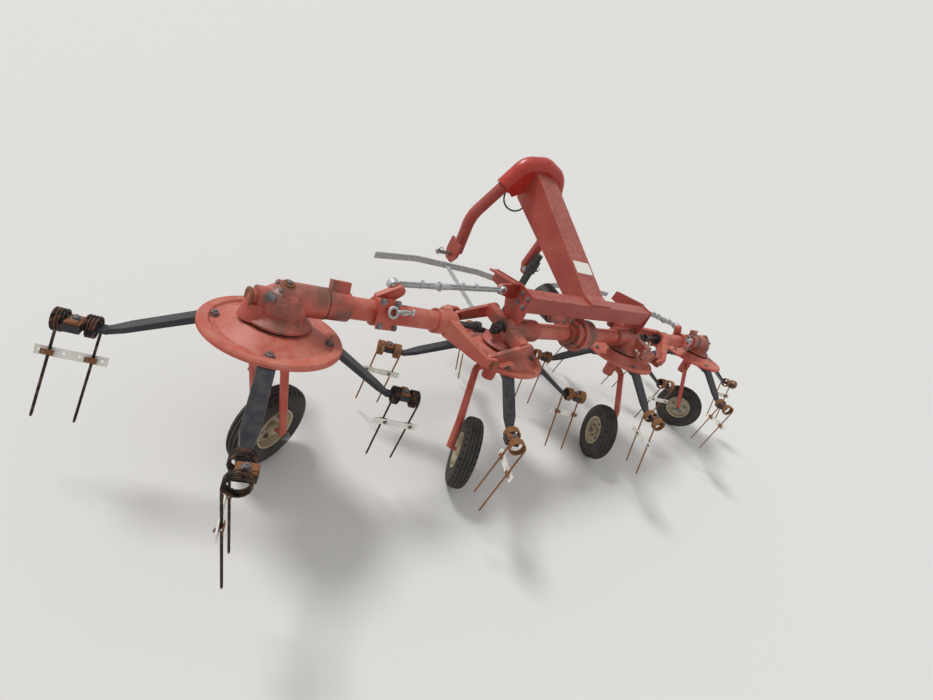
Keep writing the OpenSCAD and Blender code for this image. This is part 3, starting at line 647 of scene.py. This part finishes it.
def tine_form(hand):
    """One double tine about its coil's axis, which is x. The legs hang towards -z."""
    shape = bmesh.new()
    tilted = turned("X", hand * lean)
    coil_width = pitch * coil_angle / math.tau
    for side in (-1, 1):
        top = tilted @ Vector((side * leg_gap / 2, -hand * coil_radius, 0))
        down = tilted.to_3x3() @ Vector((math.sin(rake), 0, -math.cos(rake)))
        tip = along(top + down * leg_len, top)[0]
        ring = bmesh.ops.create_circle(shape, cap_ends=True, segments=8, radius=wire_r * tip_share,
                                       matrix=tip)
        edges = lengthen(shape, edges_of(ring["verts"]), -down * tip_len, 1 / tip_share)
        edges = lengthen(shape, edges, -down * (leg_len - tip_len))
        verts = list(dict.fromkeys(vert for edge in edges for vert in edge.verts))
        wound = bmesh.ops.spin(shape, geom=verts + edges, cent=(0, 0, 0), axis=(1, 0, 0),
                               dvec=(-side * coil_width / coil_steps, 0, 0), angle=-hand * coil_angle,
                               steps=coil_steps, use_merge=False, use_duplicate=False)
        last = [item for item in wound["geom_last"] if isinstance(item, bmesh.types.BMEdge)]
        bmesh.ops.contextual_create(shape, geom=last)
    reach = leg_gap / 2 - coil_width
    across, width = along((-reach, hand * coil_radius, 0), (reach, hand * coil_radius, 0))
    add_bar(shape, wire_r, 0, width, across, sides=8)
    return keep_form(f"double_tine_{hand}", shape)


tine_forms = {hand: tine_form(hand) for hand in (-1, 1)}
print("faces in one double tine", len(tine_forms[1].polygons))

# %% [markdown]
# The CAD model has plain tines for the physics, and these wound ones stand for them. One piece holds all
# the tines of a rotor and rides on it. The springs of rotor 1 get a darker copy of the spring steel, which
# is painted shade, and the others are brown with rust.

# %% Tines on the rotors
for k in ROTORS:
    shape = bmesh.new()
    for arm in arm_places[k]:
        stamp(shape, tine_forms[hand_of[k]], arm @ coil_place)
    # Rotor 1 gets the darker copy of the steel, which paints shade on its tines.
    wire = spring_steel_in_painted_shade if k == 1 else spring_steel
    tines = finish_piece(f"spring_tines_{k}", shape, f"rotor_{k}", wire, crease=60)
    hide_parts(f"tines_{k}")
    print(tines.name, len(tines.data.polygons), "faces")

# %% [markdown]
# A white strip is screwed across the two legs of each tine, so that a broken leg isn't lost in the hay.
# It is a punched bar with four holes. The outline and the holes are drawn as edges, filled as one face,
# and extruded to 4 mm, which keeps the holes open right through.

# %% White strips
strip_mid = -136
strip_half = 18
strip_from, strip_to = -99, 111
strip_thick = 4
strip_face = coil_radius + wire_r + 0.2
hole_radius = 5.5
hole_places = (-82, -14, 30, 98)


def strip_form(hand):
    """A punched strip on the outer side of the legs."""
    shape = bmesh.new()
    low, high = strip_mid - strip_half, strip_mid + strip_half
    corners = [(strip_from, low), (strip_to, low), (strip_to, high), (strip_from, high)]
    verts = [shape.verts.new((x, -hand * strip_face, z)) for x, z in corners]
    edges = [shape.edges.new((a, b)) for a, b in zip(verts, verts[1:] + verts[:1])]
    for x in hole_places:
        hole = bmesh.ops.create_circle(shape, cap_ends=False, segments=12, radius=hole_radius,
                                       matrix=shift(x, -hand * strip_face, strip_mid) @ turned("X", QUARTER))
        edges += edges_of(hole["verts"])
    bmesh.ops.triangle_fill(shape, use_beauty=True, use_dissolve=False, edges=edges)
    made = bmesh.ops.extrude_face_region(shape, geom=list(shape.faces))["geom"]
    bmesh.ops.translate(shape, vec=(0, -hand * strip_thick, 0),
                        verts=[item for item in made if isinstance(item, bmesh.types.BMVert)])
    bmesh.ops.transform(shape, matrix=turned("X", hand * lean), verts=shape.verts)
    return keep_form(f"punched_strip_{hand}", shape)


strip_forms = {hand: strip_form(hand) for hand in (-1, 1)}
print("strips", strip_to - strip_from, "mm long")

# %% [markdown]
# Two screws hold the strip, one beside each leg, and each goes through a rusty strap that lies behind the
# leg and clamps it. The strip, its straps and its screws lean with the legs, so all of them share the
# tilted frame of the coil.

# %% Strips, straps and screws on the rotors
screw_places = (-42, 82)
strap_size = (38, 3, 20)
strap_offset = 9
strap_depth = coil_radius - wire_r - 1.5
for k in ROTORS:
    hand = hand_of[k]
    strips, screws, straps = bmesh.new(), bmesh.new(), bmesh.new()
    for arm in arm_places[k]:
        stamp(strips, strip_forms[hand], arm @ coil_place)
        tilted = arm @ coil_place @ turned("X", hand * lean)
        outwards = turned("X", hand * QUARTER)
        for x in screw_places:
            stamp(screws, small_bolt,
                  tilted @ shift(x, -hand * (strip_face + strip_thick), strip_mid) @ outwards)
            add_block(straps, strap_size, tilted @ shift(x - strap_offset, -hand * strap_depth, strip_mid),
                      width=1)
            shank = shift(x, -hand * coil_radius, strip_mid) @ outwards
            add_bar(screws, radius=4, low=-9, high=9, place=tilted @ shank, sides=8)
    finish_piece(f"white_strips_{k}", strips, f"rotor_{k}", white_enamel)
    finish_piece(f"strip_straps_{k}", straps, f"rotor_{k}", rusty_casting)
    finish_piece(f"strip_screws_{k}", screws, f"rotor_{k}", bolt_steel)
print("screws in a strip", len(screw_places))

# %% [markdown]
# Each tine is held by a forged cap that a bolt pulls down on the arm's end, over the wire between the
# two coils. Rain gets into that pocket, so the cap is the rustiest thing on the machine.
# The disc's bolts go right through the arm. Their heads show on top of the disc and their nuts below.

# %% Clamp caps and disc bolts
cap_size, cap_height, cap_offset = (46, 62, 8), 18.2, 14
nose_size, nose_offset, nose_up = (30, 20, 9), 22, 5
cap_bolt_back = 4
arm_end_under = -14.2
disc_top = -disc_drop + 5
arm_under = -182
head_radius = 209
nut_radii = (209, 242)
for k in ROTORS:
    hand = hand_of[k]
    caps, bolts = bmesh.new(), bmesh.new()
    for arm in arm_places[k]:
        cap = arm @ coil_place @ shift(0, hand * cap_offset, cap_height)
        add_block(caps, cap_size, cap, width=2.5)
        add_block(caps, nose_size, cap @ shift(0, hand * nose_offset, nose_up), width=3)
        stamp(bolts, middle_bolt, cap @ shift(0, -hand * cap_bolt_back, cap_size[2] / 2))
        under = shift(0, hand * (cap_offset - cap_bolt_back), arm_end_under) @ turned("X", HALF)
        stamp(bolts, middle_bolt, arm @ coil_place @ under)
        stamp(bolts, large_bolt, arm @ shift(head_radius, 0, disc_top))
        for radius in nut_radii:
            nut = shift(radius, 0, arm_under) @ turned("X", HALF)
            stamp(bolts, middle_bolt, arm @ nut)
    finish_piece(f"tine_clamps_{k}", caps, f"rotor_{k}", rusty_casting)
    finish_piece(f"rotor_bolts_{k}", bolts, f"rotor_{k}", bolt_steel)
print("caps and bolts on", len(ROTORS), "rotors")

# %% [markdown]
# Under each gear housing a felt seal keeps the grease in. It shows only as a dark band between the hood
# and the rotor's hub, so a turned ring with a black skin is enough.

# %% Felt seals
seal_profile = [(96, -104), (112, -104), (116, -98), (112, -92.6), (96, -92.6)]
for k in ROTORS:
    shape = bmesh.new()
    add_turned(shape, seal_profile, rotor_frame(k))
    finish_piece(f"felt_seal_{k}", shape, carrier[k], black_plastic)
print("seals", len(ROTORS))

# %% [markdown]
# Every housing has a filler plug in a raised rim on top. The outer ones also carry a bearing cap with a
# rusty flange at the far end, two stacked nuts on a slant, and a ring of six small bolts round the barrel.

# %% Fittings of the gear housings
plug_profile = [(13, 0), (22, 0), (22, 5), (20, 7), (15, 7), (13, 5)]
bearing_profile = [(14, 118), (24, 118), (36, 116), (38, 119), (38, 126), (35, 128), (26, 128), (14, 123)]
housing_top = 62
plug_out = {1: 4, 2: -20, 3: -20, 4: 4}
barrel_bolts, barrel_radius, barrel_out, barrel_turn = 6, 50, 30, 30
bearing_drop = 20
nut_out, nut_front, nut_up, nut_stack = 62, -33, 13, 15
for k in ROTORS:
    s = side_of[k]
    level = rotor_frame(k, leaning=False)
    fittings, rims = bmesh.new(), bmesh.new()
    plug = level @ shift(s * plug_out[k], 0, housing_top)
    add_turned(rims, plug_profile, plug, steps=32)
    stamp(fittings, middle_bolt, plug)
    if k in OUTER_ROTORS:
        bearing = level @ shift(0, 0, -bearing_drop) @ turned("Y", s * QUARTER)
        add_turned(rims, bearing_profile, bearing, steps=32)
        slanted = level @ shift(s * nut_out, nut_front, nut_up) @ turned("X", math.radians(45))
        stamp(fittings, large_bolt, slanted)
        stamp(fittings, middle_bolt, slanted @ shift(0, 0, nut_stack))
        for i in range(barrel_bolts):
            round_barrel = turned("X", math.radians(360 // barrel_bolts * i + barrel_turn))
            out = round_barrel @ shift(s * barrel_out, 0, barrel_radius) @ turned("Y", s * QUARTER)
            stamp(fittings, small_bolt, level @ out)
    finish_piece(f"housing_rims_{k}", rims, carrier[k], rusty_casting)
    finish_piece(f"housing_bolts_{k}", fittings, carrier[k], bolt_steel)
print("housings dressed")

# %% [markdown]
# A black gasket shows as a thin line where the wing tube's sleeve is bolted to the outer housing. It is a
# flat turned ring about the tube's axis.

# %% Gaskets of the outer housings
gasket_profile = [(60, 152), (64.8, 152), (64.8, 155.5), (60, 155.5)]
for k in OUTER_ROTORS:
    shape = bmesh.new()
    inwards = rotor_frame(k, leaning=False) @ turned("Y", -side_of[k] * QUARTER)
    add_turned(shape, gasket_profile, inwards, steps=64)
    finish_piece(f"housing_gasket_{k}", shape, carrier[k], black_plastic)
print("gaskets", len(OUTER_ROTORS))

# %% [markdown]
# Castor tyres are bias-ply, with two ribs round the middle and a shoulder with blocks on each side. Half of
# the section is drawn once and mirrored in the list, and the whole section is spun about the axle. Every
# other face of a shoulder is then inset and sunk, which leaves the blocks standing.

# %% Treaded tyres
half_section = [(103, 34), (106, 40), (114, 41), (132, 48), (150, 51.5), (168, 50.5), (182, 45), (190, 39),
                (196, 32), (199.5, 24), (194, 22), (194, 17), (200.8, 15), (201.8, 6), (196, 4)]
section = half_section + [(r, -h) for r, h in reversed(half_section)]
tread_steps = 64
shoulder_radii, shoulder_heights = (185, 199), (30, 43)
groove_inset, groove_depth = 1.6, -4


def wheel_frame(k):
    """Frame of a wheel with z along its axle."""
    joint = joints[f"wheel_roll_{k}"]
    turn = Vector(joint["axis"]).to_track_quat("Z", "Y").to_matrix().to_4x4()
    return Matrix.Translation(Vector(joint["pos_m"]) / MM) @ turn


def is_groove(face):
    """Whether a face of the tyre is one of the shoulder's that are sunk between two blocks."""
    middle = face.calc_center_median()
    step = int((math.atan2(middle.y, middle.x) % math.tau) / math.tau * tread_steps)
    on_shoulder = (shoulder_radii[0] < middle.xy.length < shoulder_radii[1]
                   and shoulder_heights[0] < abs(middle.z) < shoulder_heights[1])
    return on_shoulder and step % 2 == 0


for k in ROTORS:
    shape = bmesh.new()
    add_turned(shape, section, steps=tread_steps)
    bmesh.ops.recalc_face_normals(shape, faces=shape.faces)
    sunk = [face for face in shape.faces if is_groove(face)]
    bmesh.ops.inset_individual(shape, faces=sunk, thickness=groove_inset, depth=groove_depth,
                               use_even_offset=True)
    bmesh.ops.transform(shape, matrix=wheel_frame(k), verts=shape.verts)
    tyre = finish_piece(f"treaded_tyre_{k}", shape, f"wheel_{k}", tyre_rubber, crease=30)
    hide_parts(f"tyre_{k}")
print("tyre faces", len(tyre.data.polygons))

# %% [markdown]
# Five nuts hold each rim, and a cream cap covers the hub on both sides. The axle of an outer wheel shows a
# nut at both ends, and that of an inner wheel at one end only.

# %% Wheel nuts, hub caps and axle ends
wheel_bolts, wheel_bolt_radius, rim_face = 5, 56, 10
cap_profile = [(24.2, 20), (28, 20), (30, 23), (30, 40), (27, 47), (13, 47), (12, 45.2), (24.2, 45.2)]
outer_axle_end, inner_axle_end = 102, 60
inner_axle_turn = {2: 0, 3: HALF}
for k in ROTORS:
    nuts, caps, ends = bmesh.new(), bmesh.new(), bmesh.new()
    wheel = wheel_frame(k)
    for face in (0, HALF):
        flipped = wheel @ turned("X", face)
        for i in range(wheel_bolts):
            around = turned("Z", math.radians(360 // wheel_bolts * i)) @ shift(wheel_bolt_radius, 0, rim_face)
            stamp(nuts, middle_bolt, flipped @ around)
        add_turned(caps, cap_profile, flipped, steps=32)
        if k in OUTER_ROTORS:
            stamp(ends, large_bolt, flipped @ shift(0, 0, outer_axle_end))
    if k not in OUTER_ROTORS:
        stamp(ends, large_bolt, wheel @ turned("X", inner_axle_turn[k]) @ shift(0, 0, inner_axle_end))
    finish_piece(f"wheel_nuts_{k}", nuts, f"wheel_{k}", bolt_steel)
    finish_piece(f"hub_caps_{k}", caps, f"wheel_{k}", cream_enamel)
    finish_piece(f"axle_nuts_{k}", ends, f"castor_{k}", bolt_steel)
print("wheels dressed")

# %% [markdown]
# The saddle's plate is pulled down on the wing tube by four bolts, and a galvanised shackle hangs from its
# ring. Chain links, shackles and key rings are all rings and bars of wire, so they are spun from one small
# circle. Each ring is turned well out of the plane of the first, as the links of a chain are.

# %% Saddle bolts and shackles
saddle_inwards, saddle_tilt, saddle_top = 413, math.radians(61), 74
saddle_bolt_x, saddle_bolt_y = 37, 52
for s, word in SIDES:
    level = rotor_frame(outer_rotor[s], leaning=False)
    saddle = level @ shift(-s * saddle_inwards, 0, 0) @ turned("X", saddle_tilt)
    bolts, rings = bmesh.new(), bmesh.new()
    for x in (-saddle_bolt_x, saddle_bolt_x):
        for y in (-saddle_bolt_y, saddle_bolt_y):
            stamp(bolts, middle_bolt, saddle @ shift(x, y, saddle_top))
    ring = saddle @ shift(-s * 10, 15, 90)
    add_ring(rings, radius=22, wire=6.5, place=ring)
    add_ring(rings, radius=17, wire=4.5, place=ring @ shift(-s * 30, 6, 4) @ turned("X", 1.2))
    for side in (-1, 1):
        start = ring @ Vector((-s * 40, 6 + side * 9, 6))
        end = ring @ Vector((-s * 86, 12 + side * 3, 10))
        bar, length = along(start, end)
        add_bar(rings, radius=4.5, low=0, high=length, place=bar, sides=10)
    add_ring(rings, radius=12, wire=4, place=ring @ shift(-s * 92, 13, 11) @ turned("Y", 1.2))
    finish_piece(f"saddle_bolts_{word}", bolts, f"wing_{word}", bolt_steel)
    finish_piece(f"shackle_{word}", rings, f"wing_{word}", galvanised)
print("shackle bars", round(length), "mm")

# %% [markdown]
# The lock link is a turnbuckle: two thin rods run beside it, nuts lock its sleeve, and pins with rings hold
# the rods. The link was measured on a level wing, so the one on the drooping left wing is first turned
# about its foot by that wing's angle.

# %% Rods, nuts and rings of the lock links
droop = {-1: math.radians(4.4), 1: 0.0}
link_foot, link_eye = (736, 92, 995), (1384, 92, 895)
sleeve_from, sleeve_to, nut_thick = 203, 297, 10
pin_places = (150, 385, 470)
rod_radius, rod_aside, rod_from, rod_short = 3.6, 13, 30, 26
for s, word in SIDES:
    foot = machine @ Vector((s * link_foot[0], *link_foot[1:]))
    swing = Matrix.Translation(foot) @ turned("Y", -s * droop[s]) @ Matrix.Translation(-foot)
    eye_end = swing @ machine @ Vector((s * link_eye[0], *link_eye[1:]))
    line, length = along(eye_end, foot)
    rods = bmesh.new()
    for side in (-1, 1):
        for low, high in ((rod_from, sleeve_from), (sleeve_to, length - rod_short)):
            add_bar(rods, rod_radius, low, high, line @ shift(0, side * rod_aside, 0), sides=10)
    for low in (sleeve_from - nut_thick, sleeve_to):
        add_bar(rods, radius=15, low=low, high=low + nut_thick, place=line, sides=6)
    for distance in pin_places:
        post = line @ shift(0, 0, distance)
        add_ring(rods, radius=13, wire=2.6, place=post @ shift(0, 16, 0) @ turned("X", 0.6))
        add_bar(rods, radius=10, low=-7, high=7, place=post, sides=16)
    add_ring(rods, radius=21, wire=4, place=line @ shift(0, 0, (sleeve_from + sleeve_to) / 2))
    finish_piece(f"link_rods_{word}", rods, f"link_{word}", galvanised)
print("link", round(length), "mm from eye to foot")

# %% [markdown]
# The drive shaft is open to view between the wing's two hinge ears, black with old grease. Its joint is
# in two halves, one on the frame and one on the wing, and they part when the wing folds up. Each half is a
# turned hub with two claws.

# %% Drive joint in the hinges
inner_profile = [(0.5, 0), (44, 0), (44, 7), (26, 10), (23, 34), (30, 38), (30, 48), (0.5, 48)]
outer_profile = [(0.5, 0), (42, 0), (42, 9), (22, 14), (18, 30), (18, 164), (30, 170), (30, 190), (0.5, 190)]
joint_out, wing_end_inwards = 691, 825
claw_offset = 22
inner_claw, inner_claw_up = (14, 30, 34), 47
outer_claw, outer_claw_up = (30, 14, 40), 202
cross_pin_up = 206
for s, word in SIDES:
    fixed = machine @ shift(s * joint_out, 0, tube_height) @ turned("Y", s * QUARTER)
    inner_half = bmesh.new()
    add_turned(inner_half, inner_profile, fixed, steps=32)
    for side in (-1, 1):
        add_block(inner_half, inner_claw, fixed @ shift(side * claw_offset, 0, inner_claw_up), width=3)
    finish_piece(f"drive_joint_inner_{word}", inner_half, "frame", black_enamel)

    level = rotor_frame(outer_rotor[s], leaning=False)
    wing_end = level @ shift(-s * wing_end_inwards, 0, 0) @ turned("Y", -s * QUARTER)
    outer_half = bmesh.new()
    add_turned(outer_half, outer_profile, wing_end, steps=32)
    for side in (-1, 1):
        add_block(outer_half, outer_claw, wing_end @ shift(0, side * claw_offset, outer_claw_up), width=3)
    cross_pin = wing_end @ shift(0, 0, cross_pin_up) @ turned("X", QUARTER)
    add_bar(outer_half, radius=9, low=-21, high=21, place=cross_pin, sides=16)
    finish_piece(f"drive_joint_outer_{word}", outer_half, f"wing_{word}", black_enamel)
print("drive joints", len(SIDES))

# %% [markdown]
# The wing turns on a long pin that runs fore and aft. A rusty collar on each end of the pin keeps it in,
# and a thin roll pin through the collar holds that in turn.

# %% Hinge collars
collar_profile = [(16.2, 220.3), (27, 220.3), (27, 228), (24, 231), (16.2, 231)]
pin_inwards, pin_under = 1025, -65
roll_pin_at = 232
for s, word in SIDES:
    pin = rotor_frame(outer_rotor[s], leaning=False) @ shift(-s * pin_inwards, 0, pin_under)
    collars = bmesh.new()
    for side in (-1, 1):
        out = pin @ turned("X", -side * QUARTER)
        add_turned(collars, collar_profile, out, steps=32)
        roll_pin = out @ shift(0, 0, roll_pin_at) @ turned("Y", QUARTER)
        add_bar(collars, radius=3, low=-25, high=25, place=roll_pin, sides=8)
    finish_piece(f"hinge_collars_{word}", collars, f"wing_{word}", rusty_casting)
print("hinges dressed")

# %% [markdown]
# The middle frame has a flange and bolts on the gearbox, bolts on the end plates and at the feet of the
# guard's struts, and pins in the hitch and the stand, each with a pull ring so that it can't be lost. Their
# places are those of the solids they sit on, in millimetres from the machine's own origin.

# %% Fittings of the frame
flange_profile = [(94, -38), (111, -38), (113, -35), (113, -19), (111, -16), (94, -16)]
flange_bolts, flange_bolt_radius, flange_face, flange_turn = 8, 103, -38, 22
cover_bolt_radius, cover_face = 81, 90
plate_bolt_up, plate_bolt_across = 28, 26
flange, bolts, pins = bmesh.new(), bmesh.new(), bmesh.new()
gearbox = machine @ shift(0, 0, tube_height) @ turned("Y", QUARTER)
add_turned(flange, flange_profile, gearbox, steps=64)
for i in range(flange_bolts):
    around = gearbox @ turned("Z", math.radians(360 // flange_bolts * i + flange_turn))
    stamp(bolts, small_bolt, around @ shift(flange_bolt_radius, 0, flange_face) @ turned("X", HALF))
    for face in (0, HALF):
        stamp(bolts, small_bolt, around @ turned("X", face) @ shift(cover_bolt_radius, 0, cover_face))
for s in (-1, 1):
    end_plate = machine @ shift(s * 632, 20, 992) @ turned("Y", s * QUARTER)
    for up in (-plate_bolt_up, plate_bolt_up):
        for across in (-plate_bolt_across, plate_bolt_across):
            stamp(bolts, middle_bolt, end_plate @ shift(up, across, 0))
    strut_foot = machine @ shift(s * 720, 190.2, 755) @ turned("X", -QUARTER)
    stamp(bolts, middle_bolt, strut_foot)
    hitch_pin = machine @ shift(s * 518, 1000, 690)
    add_bar(pins, radius=5, low=-24, high=26, place=hitch_pin, sides=12)
    add_ring(pins, radius=20, wire=2.5, place=hitch_pin @ shift(0, -18, 22) @ turned("X", 1.2))
stand_pin = machine @ shift(350.5, 908, 765) @ turned("Y", QUARTER)
add_bar(pins, radius=8, low=-46, high=42, place=stand_pin, sides=16)
add_ring(pins, radius=20, wire=3, place=stand_pin @ shift(16, 0, -44) @ turned("X", QUARTER))
finish_piece("gearbox_flange", flange, "frame", faded_red)
finish_piece("frame_bolts", bolts, "frame", bolt_steel)
finish_piece("hitch_pins_rings", pins, "frame", bolt_steel)

# %% [markdown]
# A thin plate is riveted to the mast box, and here it is blank. It lies on a slope, so its frame is made
# from the slope's own direction and its normal. Only the four short edges at its corners are bevelled,
# which rounds the outline and leaves the rim sharp, as a punched sheet is.

# %% Blank plate
plate_size = (165, 91, 1.4)
plate_middle = Vector((0, 253, 1144.8))
rivet_x, rivet_y, rivet_radius = 75, 38, 4
plate = bmesh.new()
slope = Vector((0, 889.7, 381.7)).normalized()
normal = Vector((1, 0, 0)).cross(slope)
plate_frame = (machine @ Matrix.Translation(plate_middle + 0.9 * normal)
               @ Matrix((Vector((1, 0, 0)), slope, normal)).transposed().to_4x4())
made = bmesh.ops.create_cube(plate, size=1, matrix=plate_frame @ Matrix.Diagonal((*plate_size, 1)))
corners = [edge for edge in edges_of(made["verts"])
           if abs((edge.verts[0].co - edge.verts[1].co).normalized().dot(normal)) > 0.9]
bmesh.ops.bevel(plate, geom=corners, offset=7, segments=3, affect="EDGES", profile=0.5, material=-1)
for x in (-rivet_x, rivet_x):
    for y in (-rivet_y, rivet_y):
        rivet = plate_frame @ shift(x, y, 0)
        add_bar(plate, rivet_radius, low=0.6, high=2.6, place=rivet, sides=12, top=2.4)
finish_piece("blank_plate", plate, "frame", white_enamel)
print("plate", plate_size[0], "by", plate_size[1], "mm")

# %% [markdown]
# A fillet weld is a row of overlapping ripples that the welder leaves as the arc moves along. One ball of
# twenty faces is stamped every 7 mm, a little longer than it is thick, and its size varies from one to the
# next. The seams run round the foot of the mast box, up and over the beam's ends, and up both sides of the
# mast under the crown.

# %% Weld beads
ripple_step, ripple_radius, ripple_length = 7, 5, 5.5
beam_top = 1042.3
seams = [((-100, -20, beam_top), (-100, 64, beam_top)), ((100, -20, beam_top), (100, 64, beam_top)),
         ((-99, -23, beam_top), (99, -23, beam_top)),
         ((-624, -24, 944), (-624, -24, 1040)), ((624, -24, 944), (624, -24, 1040)),
         ((-621, -24, 1041), (-621, 62, 1041)), ((621, -24, 1041), (621, 62, 1041)),
         ((-101, 945, 1291), (-101, 945, 1467)), ((101, 945, 1291), (101, 945, 1467))]
ripple_shape = bmesh.new()
bmesh.ops.create_icosphere(ripple_shape, subdivisions=1, radius=1)
ripple = keep_form("weld_ripple", ripple_shape)
welds = bmesh.new()
for start, end in seams:
    bead, length = along(Vector(start), Vector(end))
    count = int(length / ripple_step)
    for i in range(count + 1):
        swell = 1 + 0.15 * math.sin(i * 2.1) + 0.1 * math.sin(i * 5.3)
        size = Matrix.Diagonal((ripple_radius * swell, ripple_radius * swell, ripple_length, 1))
        stamp(welds, ripple, machine @ bead @ shift(0, 0, i * length / count) @ size)
finish_piece("weld_beads", welds, "frame", deep_red, crease=80)
print("seams", len(seams))

# %% [markdown]
# One black hose hangs in a loop under the crown, from the sleeve's left end to the mast box. It is 12 mm
# thick and some 0.3 m long as far as it shows, and both of its ends go into the frame. A hose bends
# evenly, so its middle line is one Bezier curve with four control points, read off at 24 places.

# %% Hose under the crown
hose_d = 12
hose_points = 24
pulls = [machine @ Vector(p) for p in ((-218, 999, 1240), (-233, 986, 1118), (-42, 950, 1092),
                                       (-39, 947, 1214))]
route = []
for i in range(hose_points):
    t = i / (hose_points - 1)
    weights = ((1 - t) ** 3, 3 * (1 - t) ** 2 * t, 3 * (1 - t) * t * t, t ** 3)
    route.append(sum((w * p for w, p in zip(weights, pulls)), Vector()) * MM)
hose_curve = bpy.data.curves.new("crown_hose", "CURVE")
hose_curve.dimensions = "3D"
hose_curve.bevel_depth = hose_d / 2 * MM
hose_curve.bevel_resolution = 3
hose_curve.use_fill_caps = True
spline = hose_curve.splines.new("POLY")
spline.points.add(len(route) - 1)
for point, place in zip(spline.points, route):
    point.co = (*place, 1)
spline.use_smooth = True
hose = bpy.data.objects.new("crown_hose", hose_curve)
scene.collection.objects.link(hose)
hose_curve.materials.append(hose_rubber)
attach(hose, "frame")
